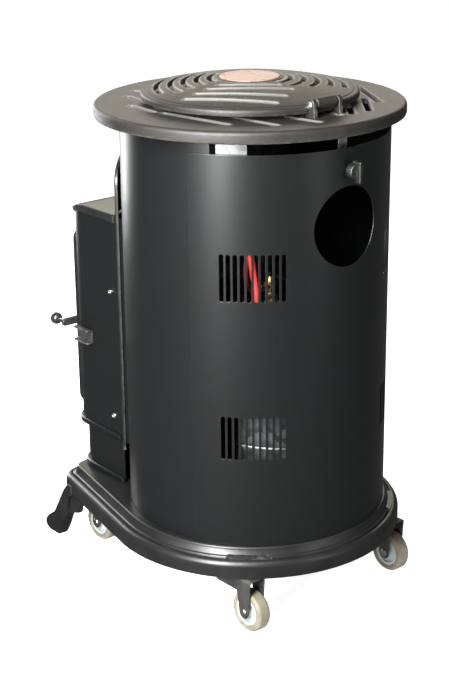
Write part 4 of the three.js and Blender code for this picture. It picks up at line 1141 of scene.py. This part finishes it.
def make_casters():
    for row, name, side in CASTERS:
        make_wheel(row, name)
        centre = wheel_centre(row, name)
        top = BRACKET_TOP if row == "rear" else BRACKET_TOP - 3
        path = fork_path(top)
        _, lengths = wrapped(path, "XZ")
        end = lengths[-1]
        at = lambda x, z: locate(path, lengths, (x, z))
        if row == "rear":
            blank = [*arc(at(-CHEEK, 0), 0, 9.3, 90, 270, 10), (at(-CHEEK, 44), -13), (at(-12, top), -16),
                     (at(6, top), -16), (at(6, top), -62), (at(CHEEK, 46), -62),
                     *arc(at(CHEEK, 38), -54, 8, 270, 350, 6), (at(CHEEK, 30), -15), (at(CHEEK, 6), -10),
                     *arc(at(CHEEK, 0), 0, 9.3, -90, 90, 10), (at(CHEEK, 50), 13), (at(-CHEEK, 50), 13)]
            node = f"rear_caster_bracket_{name}"
        else:
            blank = [*arc(at(-CHEEK, 0), 0, 9.3, 90, 270, 10), (at(-CHEEK, 40), -8), (at(CHEEK, 40), -8),
                     *arc(at(CHEEK, 0), 0, 9.3, -90, 90, 10), (at(CHEEK, 36), FORK_TRAIL + 15),
                     (at(CHEEK, 44), FORK_TRAIL + 15), (at(-CHEEK, 44), FORK_TRAIL + 15),
                     (at(-CHEEK, 36), FORK_TRAIL + 15)]
            node = f"front_caster_fork_{name}"
        blank = np.array([np.array(point, float) for point in blank])
        if side < 0:
            blank = np.stack([end - blank[:, 0], blank[:, 1]], 1)[::-1]
        make_bracket(f"{row}_bracket_{name}", node, blank, top, centre, axle_body(row, name))


# ------------------------------------------------------------------ stove front
BAY = {"half": 137, "front": -277, "corner": 41, "back": -101, "low": 192, "high": 540}
LOWER_BAY = {"half": 134.5, "front": -270, "corner": 44, "back": -148}
WINDOW = (96, 238, 485)
FLOOR_HOLE = 62
BEAD_HEIGHT = 9
HOOD_TOP = span("bay_hood")[1].z
HOOD_LIP = span("bay_hood")[0].z
HOOD_OVERHANG = 4.5
HOOD_BEND = 38
HOOD_BACK = span("bay_hood")[1].y
HOOD_SWEEP = 60                       # the curl is longer than it is deep
BEND_Y = BAY["front"] - HOOD_OVERHANG + HOOD_SWEEP
BEND_Z = HOOD_TOP - HOOD_BEND
BEAD_BACK = -149
BURNER_Y = -203
WICK_KNOB_Z = (span("wick_knob")[0].z + span("wick_knob")[1].z) / 2


def bay_path(half, front, corner, back):
    """Plan of a bay's wall, from its back left end round the front to its back right end."""
    return rounded([(-half, back), (-half, front), (half, front), (half, back)], corner, 18, closed=False)


def bent_wall(path, low, top_of):
    """Outline of a wall along a path, whose top edge is top_of(y)."""
    _, lengths = wrapped(path)
    end = lengths[-1]
    along = np.linspace(0, end, math.ceil(end / 4) + 1)
    depth = np.interp(along, lengths, path[:, 1])
    bottom = np.stack([along, np.full_like(along, low)], 1)
    top = np.stack([along, top_of(depth)], 1)
    side = np.linspace(low, top[0, 1], math.ceil((top[0, 1] - low) / 20) + 1)[1:-1]
    right = np.stack([np.full_like(side, end), side], 1)
    left = np.stack([np.zeros_like(side), side[::-1]], 1)
    return np.concatenate([bottom, right, top[::-1], left]), end / 2


def make_bead(name, path, low, high, grow):
    """A rolled bead standing out from a wall along its bottom edge."""
    place, lengths = wrapped(path)
    outline = dense(rectangle(0, lengths[-1], low, high, 0.01, 1), 4)
    outline = outline[np.linalg.norm(np.roll(outline, -1, 0) - outline, axis=1) > 0.1]
    front = [(0, 0.2), (0.25, grow * 0.45), (1.0, grow * 0.75), (2.1, grow * 0.94), (3.4, grow)]
    make_slab(name, [(outline, front, [(0, -0.6), (0.4, -1)])], place, (4, 3), "black_steel")


def make_bay():
    path = bay_path(BAY["half"], BAY["front"], BAY["corner"], BAY["back"])
    room = 2.8

    def top_of(depth):
        share = np.minimum(depth - BEND_Y, 0) / (HOOD_SWEEP - room)
        reach = (HOOD_BEND - room) * np.sqrt(np.maximum(1 - share ** 2, 0))
        return np.minimum(BAY["high"], BEND_Z + reach)

    outline, middle = bent_wall(path, BAY["low"], top_of)
    window = dense(rectangle(middle - WINDOW[0], middle + WINDOW[0], *WINDOW[1:], 8), 12)[::-1]
    make_slab("bay_wall", [sheet_loop(outline), sheet_loop(window)], wrapped(path)[0], (8, 16),
              "black_steel",
              nodes=["bay_housing"])
    make_bead("bay_bead", bay_path(BAY["half"], BAY["front"], BAY["corner"], BEAD_BACK), BAY["low"],
              BAY["low"] + BEAD_HEIGHT, HOOD_OVERHANG)
    inner = bay_path(BAY["half"] - 1.7, BAY["front"] + 1.7, BAY["corner"] - 1.7, BAY["back"])
    floor = circle(0, BURNER_Y, FLOOR_HOLE, 64)[::-1]
    low = BAY["low"]
    make_slab("bay_floor", [(inner, fillet(0.3, low + 1.5, 2), fillet(0.3, low, 2, down=1)),
                            (floor, fillet(0.3, low + 1.5, 2), fillet(0.3, low, 2, down=1))], flat_z, (9, 9),
              "black_steel")


def make_hood():
    sweep = (arc(0, 0, 1, 90, 180, 24) * (HOOD_SWEEP, HOOD_BEND)) + (BEND_Y, BEND_Z)
    path = np.array([(HOOD_BACK, HOOD_TOP), *sweep, (BEND_Y - HOOD_SWEEP, HOOD_LIP)])
    bent, lengths = wrapped(path, "YZ")
    flat, end = lengths[1], lengths[-1]
    centre_y = BAY["front"] + BAY["corner"]
    corner = BAY["corner"] + HOOD_OVERHANG
    half = BAY["half"] + HOOD_OVERHANG
    along = np.concatenate([np.linspace(0, flat, 20), np.linspace(flat, end - 2, 30)[1:], [end]])
    depth = np.interp(along, lengths, path[:, 0])
    width = half - corner + np.sqrt(np.maximum(corner ** 2 - np.minimum(depth - centre_y, 0) ** 2, 0))
    right = np.stack([along, width], 1)
    left = np.stack([along[::-1], -width[::-1]], 1)
    front = np.linspace(-width[-1], width[-1], 40)[1:-1]
    back = np.linspace(half, -half, 60)[1:-1]
    outline = np.concatenate([left, np.stack([np.zeros(58), back[::-1]], 1),
                              right, np.stack([np.full(38, end), front[::-1]], 1)])[::-1]

    def place(u, v, w):
        share = np.interp(u, [flat, end - 6], [1, 0.22])
        return bent(u, v, np.where(w < -SHEET, -SHEET + (w + SHEET) * share, w))

    band = [(0, -10.8), (0.35, -11.7), (1.2, -12), (2.1, -11.7), (2.5, -10.8), (2.6, -3), (3.0, -2),
            (3.8, -SHEET)]
    make_slab("hood_sheet", [(outline, fillet(2.2, 0, 6), band)], place, (6, 6), "black_enamel",
              nodes=["bay_hood"])


ARCH = {"half": 141, "opening": 137.4, "spring": 588, "rise": 62, "low": 180.5}
FLANGE_RADIUS = 199


def make_surround():
    path = arc(0, 0, FLANGE_RADIUS, -140, -40, 160)
    place, lengths = wrapped(path)
    middle = lengths[-1] / 2
    round_x = lambda x: middle + FLANGE_RADIUS * np.arcsin(x / FLANGE_RADIUS)
    angles = np.radians(np.linspace(0, 180, 61))
    crown = np.stack([ARCH["half"] * np.cos(angles), ARCH["spring"] + ARCH["rise"] * np.sin(angles)], 1)
    heights = np.arange(ARCH["low"], ARCH["spring"], 12)
    line = np.concatenate([[(ARCH["half"], z) for z in heights], crown,
                           [(-ARCH["half"], z) for z in heights[::-1]]])
    line[:, 0] = round_x(line[:, 0])

    sill = HOOD_TOP + 0.6
    upper = line[line[:, 1] >= sill]
    plate = np.concatenate([[(upper[0, 0], sill)], upper, [(upper[-1, 0], sill)]])
    plate = offset(dense(plate, 6), 1)
    make_slab("arch_plate", [sheet_loop(plate, edge=0.3)], place, (7, 12), "black_enamel",
              nodes=["bay_surround"])

    ahead = np.gradient(line, axis=0)
    ahead /= np.linalg.norm(ahead, axis=1)[:, None]
    inwards = np.stack([-ahead[:, 1], ahead[:, 0]], 1)
    angles = np.radians(np.linspace(180, 0, 9))
    bead = 2.4
    profile = [(0, -3.4)] + [(bead - bead * math.cos(math.pi - a),
                              -0.8 + bead * math.sin(a)) for a in angles]
    profile += [(2 * bead, -3.4)]
    rings = [place(*(line + inwards * inset).T, np.full(len(line), out)) for inset, out in profile]
    count, size = len(rings), len(line)
    faces = [[k * size + i, k * size + i + 1, (k + 1) % count * size + i + 1, (k + 1) % count * size + i]
             for k in range(count) for i in range(size - 1)]
    faces.append([k * size for k in range(count)])
    faces.append([k * size + size - 1 for k in range(count)])
    add_mesh("arch_rim", np.concatenate(rings), faces, "black_enamel")


def make_lower_housing():
    low, high = span("lower_housing")
    path = bay_path(**LOWER_BAY)
    outline, middle = bent_wall(path, low.z, lambda depth: np.full_like(depth, high.z))
    hole = circle(middle, WICK_KNOB_Z, 3.4, 20)[::-1]
    make_slab("lower_wall", [sheet_loop(outline), sheet_loop(hole, edge=0.2)], wrapped(path)[0], (8, 12),
              "black_steel", nodes=["lower_housing"])
    make_bead("lower_bead", path, low.z, low.z + BEAD_HEIGHT, 5)


def make_screws():
    """Domed screws with a round dimple in the top, stood proud of the bay's side walls."""
    for height in ("upper", "lower"):
        for name, side in SIDES:
            node = f"bay_screw_{height}_{name}"
            low, high = span(node)
            inner, outer = (low.x, high.x) if side > 0 else (high.x, low.x)
            reach = outer - inner
            centre = (inner, (low.y + high.y) / 2, (low.z + high.z) / 2)
            dome = [(4.2, 0), (4.2, 0.35 * reach), (3.7, 0.66 * reach), (2.6, 0.88 * reach),
                    (1.6, 0.97 * reach),
                    (1.5, 0.72 * reach), (0, 0.66 * reach), (0, 0)]
            turned(f"screw_{height}_{name}", dome, "bright_steel", steps=32, nodes=[node], axis="X",
                   at=centre)


# ------------------------------------------------------------------ door
DOOR_HALF = 118
DOOR_LOW, DOOR_HIGH = 209, 492
OPENING_HALF = 86
OPENING_LOW, OPENING_HIGH = 243, 462
PANE_FRONT, PANE_BACK = 277.9, 274.4
RETAINER_FRONT, RETAINER_BACK = 274.1, 272.6
DOOR_BACK, DOOR_FRONT = 278.2, 287    # distances out towards -Y
HINGE_PIN = (-124.5, -290)
DOOR_KNUCKLES = (DOOR_LOW + 40, DOOR_HIGH - 40)
LATCH_X, LATCH_Z = 96, 341


def pane(lap):
    """Sides of a pane that laps over the edges of the door's opening."""
    return -OPENING_HALF - lap, OPENING_HALF + lap, OPENING_LOW - lap - 1, OPENING_HIGH + lap + 1


def make_door():
    outline = dense(rectangle(-DOOR_HALF, DOOR_HALF, DOOR_LOW, DOOR_HIGH, 16, 8), 12)
    hole = dense(rectangle(-OPENING_HALF, OPENING_HALF, OPENING_LOW, OPENING_HIGH, 8, 6), 12)
    raised = [(0, DOOR_FRONT - 3.4), (0.7, DOOR_FRONT - 1.3), (2.3, DOOR_FRONT - 0.2), (4.5, DOOR_FRONT)]
    step = [(0, DOOR_BACK + 1), (0.2, DOOR_FRONT - 3.5), (0.8, DOOR_FRONT - 3), (2.6, DOOR_FRONT - 2.9),
            (3.2, DOOR_FRONT - 2.4), (3.4, DOOR_FRONT - 0.7), (4.1, DOOR_FRONT)]
    back = fillet(0.6, DOOR_BACK, 3, down=1)
    spindle = circle(LATCH_X, LATCH_Z, 4.4, 24)[::-1]
    loops = [(outline, raised, back), (hole[::-1], step, back),
             (spindle, fillet(0.4, DOOR_FRONT, 2), fillet(0.4, DOOR_BACK, 2, down=1))]
    make_slab("door_casting", loops, along_y, (5, 8), "black_enamel", "door", ["door_frame"])
    for number, z in enumerate(DOOR_KNUCKLES):
        bore = 2.95
        profile = [(bore, z - 13.6), (5.2, z - 13.6), (6, z - 12.8), (6, z + 12.8), (5.2, z + 13.6),
                   (bore, z + 13.6)]
        turned(f"door_knuckle_{number}", profile, "black_enamel", *HINGE_PIN, 28, "door")
        leaf = rectangle(-DOOR_HALF - 2.6, -DOOR_HALF + 9, z - 12.6, z + 12.6, 2, 4)
        make_slab(f"door_leaf_{number}", [(leaf, fillet(0.8, 289.4, 3), fillet(0.5, 285.5, 2, down=1))],
                  along_y,
                  (6, 6), "black_enamel", "door")
    skins = fillet(0.5, PANE_FRONT, 2), fillet(0.5, PANE_BACK, 2, down=1)
    make_slab("door_pane", [(rectangle(*pane(4), 6, 5), *skins)], along_y, (30, 30), "stove_glass", "door",
              ["door_glass"])
    skins = fillet(0.3, RETAINER_FRONT, 2), fillet(0.3, RETAINER_BACK, 2, down=1)
    loops = [(rectangle(*pane(7), 6, 5), *skins), (rectangle(*pane(-4), 4, 4)[::-1], *skins)]
    make_slab("pane_retainer", loops, along_y, (9, 9), "bright_steel", "door", ["glass_retainer"])


def make_hinges():
    x, y = HINGE_PIN
    for name, z in zip(("lower", "upper"), DOOR_KNUCKLES):
        for end, low, high in (("below", z - 21, z - 14.4), ("above", z + 14.4, z + 21)):
            knuckle = rounded([(0, low), (6, low), (6, high), (0, high)], [0, 0.8, 0.8, 0], 3)
            nodes = [f"door_hinge_{name}"] if end == "below" else ()
            turned(f"hinge_{name}_{end}", knuckle, "black_fittings", x, y, 28, nodes=nodes)
            wall = BAY["front"] + 9.6
            arm = np.array([(y, low + 0.2), (wall, low + 0.2), (wall, high - 0.2), (y, high - 0.2)])
            make_slab(f"hinge_arm_{name}_{end}",
                      [(arm, fillet(0.5, x + 1.5, 2), fillet(0.5, x - 5, 2, down=1))],
                      along_x, (4, 4), "black_fittings")
        turned(f"hinge_rod_{name}", [(0, z - 20), (2.5, z - 20), (2.5, z + 20), (0, z + 20)], "bright_steel",
               x, y, 24)


def make_latch():
    centre = (LATCH_X, 0, LATCH_Z)
    shaft = [(0, -302), (3.6, -302), (4, -301.6), (4, -291.6), (8.4, -291.2), (9, -290.6), (9, -288),
             (8.6, -287.6),
             (4, -287.4), (4, -278), (3.6, -277.6), (0, -277.6)]
    turned("latch_shaft", shaft, "black_fittings", steps=40, body="door_latch", nodes=["latch_spindle"],
           axis="Y",
           at=centre)
    lever = rectangle(LATCH_X - 7, LATCH_X + 40, LATCH_Z - 6, LATCH_Z + 6, 5.8, 8)
    make_slab("latch_lever", [(lever, fillet(2.0, 302, 4), fillet(1.2, 296, 3, down=1))], along_y, (3, 3),
              "black_fittings", "door_latch")
    ball_low, ball_high = span("latch_ball_knob")
    ball = (ball_low + ball_high) / 2
    radius = (ball_high.x - ball_low.x) / 2
    turned("latch_neck",
           [(0, ball.y + radius - 1), (2.8, ball.y + radius - 1), (3.4, ball.y + radius + 1), (3, -308),
                          (3.4, -301), (0, -301)], "bright_steel", steps=28, body="door_latch", axis="Y",
           at=(ball.x, 0, ball.z))
    turned("latch_ball",
           [(radius * math.sin(a), -radius * math.cos(a)) for a in np.radians(np.linspace(0, 180, 33))],
           "ball_knob", steps=48, body="door_latch", nodes=["latch_ball_knob"], axis="Y", at=ball)
    low, high = span("latch_keeper")
    path = rounded([(high.x, low.z + 1.2), (low.x + 1.2, low.z + 1.2), (low.x + 1.2, high.z - 1.2),
                    (high.x, high.z - 1.2)], 3, 5, closed=False)
    place, lengths = wrapped(path, "XZ")
    outline = dense(rectangle(0, lengths[-1], low.y, high.y, 3, 4), 1.2)
    make_slab("keeper_strap", [(outline, fillet(0.5, 1.2, 2), fillet(0.5, -1.2, 2, down=1))], place, (4, 6),
              "black_fittings", nodes=["latch_keeper"])


# ------------------------------------------------------------------ fuel tank, valve and hose
TANK_RADIUS = 110
TANK_Y = 50
TANK_LOW, TANK_SHOULDER = 122, 392
VALVE = (22, 58)
VALVE_AXIS_Z = 462
FILLER = (-52, 66)
FILLER_TOP = 446
HOSE_RADIUS = 4.5
HOSE_ROUTE = (
    (50.4, 58, 462), (64, 60, 466), (80, 72, 490), (91, 94, 536), (101, 112, 572), (111, 122, 584),
    (116.5, 123, 572), (116, 124, 545), (113, 127, 510), (110, 130, 478), (112, 129, 440), (122, 116, 390),
    (135, 92, 330), (145, 62, 270), (148, 26, 214), (142, -14, 172), (124, -56, 156), (104, -100, 151),
    (92, -150, 150), (84, -186, 150), (72, -202, 150), (57, -203, 150),
)


def make_tank():
    low, shoulder, radius = TANK_LOW, TANK_SHOULDER, TANK_RADIUS
    outline = rounded([(0, low + 4), (radius - 6, low + 4), (radius - 0.6, low + 9),
                       (radius - 0.6, low + 13),
                       (radius, low + 14), (radius, low + 128), (radius - 1.2, low + 130),
                       (radius, low + 132),
                       (radius, shoulder), (radius - 8, shoulder + 17),
                       (radius - 34, shoulder + 29), (0, shoulder + 36)],
                      [0, 5, 1, 0.5, 0.5, 0.6, 0.6, 0.6, 22, 20, 30, 0], 8)
    turned("tank_shell", outline, "galvanised_steel", y=TANK_Y, steps=128, nodes=["fuel_tank"])
    turned("tank_foot",
           [(radius - 10, low), (radius - 6, low), (radius - 6, low + 5), (radius - 10, low + 5)],
           "galvanised_steel", y=TANK_Y, steps=96)
    turned("valve_boss", rounded([(0, 416), (14, 416), (14, 441), (0, 441)], [0, 0, 2, 0], 4),
           "galvanised_steel",
           *VALVE, 48)
    turned("filler_neck",
           rounded([(15, 414), (19, 414), (19, FILLER_TOP), (15, FILLER_TOP)], [0, 0, 0.8, 0.8], 3),
           "galvanised_steel", *FILLER, 56)


def make_tank_fittings():
    x, y = VALVE
    turned("valve_nut", rounded([(0, 441.3), (9, 441.3), (9, 452), (0, 452)], [0, 0.8, 0.8, 0], 2),
           "brass_valve",
           x, y, 6, nodes=["tank_valve"], crease=20)
    turned("valve_stem", rounded([(0, 451), (6.6, 451), (7.4, 455), (7.4, 470), (5, 476), (0, 476)],
                                 [0, 1, 2, 3, 1, 0], 3), "brass_valve", x, y, 40)
    turned("valve_outlet",
           [(0, 4), (5, 4), (5, 9), (6, 9.4), (6, 13), (4.6, 13.4), (4.6, 15), (6, 15.4), (6, 20),
                            (4.6, 20.4), (4.6, 25), (4, 26), (0, 26)], "brass_valve", steps=32, axis="X",
           at=(x, y, VALVE_AXIS_Z))
    low, high = span("valve_lever")
    blade = rounded([(x - 5, y - 4), (x + 5, y - 4), (x + 5, high.y), (x - 5, high.y)], 4.5, 6)
    make_slab("lever_blade", [(blade, fillet(1.2, 482, 3), fillet(1.2, 478, 3, down=1))], flat_z, (3, 3),
              "black_steel", "valve_lever", ["valve_lever"])
    turned("lever_boss", rounded([(0, low.z), (6, low.z), (6, high.z), (0, high.z)], [0, 0.6, 1, 0], 3),
           "black_steel", x, y, 32, "valve_lever")
    make_filler_cap()
    turned("hose_ferrule", rounded([(0, -0.5), (5.4, -0.5), (5.4, 12), (0, 12)], [0, 0.8, 0.8, 0], 3),
           "bright_steel",
           steps=32, axis="X", at=(x + 26.8, y, VALVE_AXIS_Z))
    swept("hose_tube", smooth_curve(HOSE_ROUTE, 9), HOSE_RADIUS, "hose_rubber", nodes=["fuel_hose"])


def make_filler_cap():
    low, high = span("filler_cap")
    x, y = FILLER
    flutes = 24
    rings = []
    for inset, z, depth in ((1.2, low.z, 0), (0, low.z + 1, 1), (0, 457, 1), (0.8, 459, 0.6), (3, 460, 0)):
        angles = np.radians(np.arange(flutes * 8) * 360 / (flutes * 8))
        radius = 23 - inset - 0.9 * depth * (0.5 - 0.5 * np.cos(angles * flutes))
        rings.append(np.stack([x + radius * np.cos(angles), y + radius * np.sin(angles),
                               np.full_like(angles, z)], 1))
    size, count = len(rings[0]), len(rings)
    faces = [[k * size + i, k * size + (i + 1) % size, (k + 1) * size + (i + 1) % size, (k + 1) * size + i]
             for k in range(count - 1) for i in range(size)]
    faces.append(list(range(size))[::-1])
    faces.append([(count - 1) * size + i for i in range(size)])
    add_mesh("filler_cap_body", np.concatenate(rings), faces, "ball_knob", "filler_cap", ["filler_cap"])
    bar = rectangle(x - 4, x + 4, y - 19.5, y + 19.5, 3.8, 6)
    make_slab("filler_cap_bar", [(bar, fillet(1.6, high.z, 4), fillet(0.3, 459, 2, down=1))], flat_z, (3, 3),
              "ball_knob", "filler_cap")


# ------------------------------------------------------------------ burner
def make_burner():
    y = BURNER_Y
    turned("sump_body", rounded([(0, 127), (44, 127), (50, 132), (50, 166), (44, 172), (0, 172)],
                                [0, 4, 4, 4, 4, 0], 6), "galvanised_steel", y=y, steps=80,
           nodes=["burner_sump"])
    turned("sump_inlet", rounded([(0, 45), (5, 45), (5, 55.4), (0, 55.4)], [0, 0, 1, 0], 3),
           "galvanised_steel",
           steps=32, axis="X", at=(0, y, WICK_KNOB_Z))
    turned("wick_sleeve",
           rounded([(38.2, 172.3), (40, 172.3), (40, 181.9), (60, 181.9), (60, 183.6), (40, 183.6),
                                   (40, 236), (38.2, 236)], [0.2, 0.2, 1, 0.5, 0.5, 1, 0.3, 0.3], 3),
           "bright_steel", y=y, steps=80, nodes=["wick_tube"])
    low, high = span("wick")
    turned("wick_ring",
           rounded([(33.6, low.z), (37.6, low.z), (37.6, high.z), (33.6, high.z)], [0.3, 0.3, 1.4, 1.4], 4),
           "wick_fibre", y=y, steps=80, body="wick", nodes=["wick"])
    turned("spreader_body",
           rounded([(0, 172.3), (33, 172.3), (33, 240), (31, 242), (31, 262), (26, 268), (0, 270)],
                                    [0, 0.5, 0.8, 0.8, 3, 4, 0], 4), "bright_steel", y=y, steps=80,
           nodes=["flame_spreader"])
    turned("chimney_tube",
           rounded([(54, 184), (54, 190), (49, 195), (49, 400), (40, 418), (0, 424), (0, 422.6),
                                    (39.2, 416.7), (47.8, 399.6), (47.8, 194.4), (52.6, 189.4), (52.6, 184)],
                                   [0.4, 3, 3, 14, 16, 0, 0, 15, 13, 2, 2, 0.4], 6), "bright_steel", y=y,
           steps=96,
           nodes=["burner_chimney"])
    place, lengths = wrapped(arc(0, y, 92, 20, 160, 90))
    outline = dense(rectangle(0, lengths[-1], BAY["low"] + SHEET + 1, 520, 4, 3), 4)
    make_slab("reflector_sheet", [sheet_loop(outline, 1.2, 0.3)], place, (4, 24), "bright_steel",
              nodes=["reflector"])


def make_wick_knob():
    front = -span("wick_knob")[0].y
    centre = (0, 0, WICK_KNOB_Z)
    turned("wick_knob_body",
           rounded([(0, -289), (13.5, -289), (15, -286), (15, -275.5), (3, -275.5), (3, -254),
                                      (0, -254)], [0, 2, 2, 1.5, 0.3, 0.5, 0], 4), "ball_knob", steps=56,
           body="wick_knob", nodes=["wick_knob"], axis="Y", at=centre)
    bar = rectangle(-3, 3, WICK_KNOB_Z - 13, WICK_KNOB_Z + 13, 2.8, 6)
    make_slab("wick_knob_bar", [(bar, fillet(1.2, front, 4), fillet(0.3, 288, 2, down=1))], along_y,
              (2.5, 2.5),
              "ball_knob", "wick_knob")


# ------------------------------------------------------------------ assembly
def dress_carried_nodes():
    """Gives every CAD node its material; those without a finer piece are shown as they are."""
    for name, node in frame["nodes"].items():
        for slot in node.material_slots:
            slot.material = LOOKS[SLOT_OF[name]]


make_top_plate()
make_lid()
make_lid_hinge()
make_disc()
make_casing()
make_rear_cover()
make_cover_knob()
make_catch_and_liner()
make_plinth()
make_pads()
make_legs()
make_casters()
make_bay()
make_hood()
make_surround()
make_lower_housing()
make_screws()
make_door()
make_hinges()
make_latch()
make_tank()
make_tank_fittings()
make_burner()
make_wick_knob()
dress_carried_nodes()
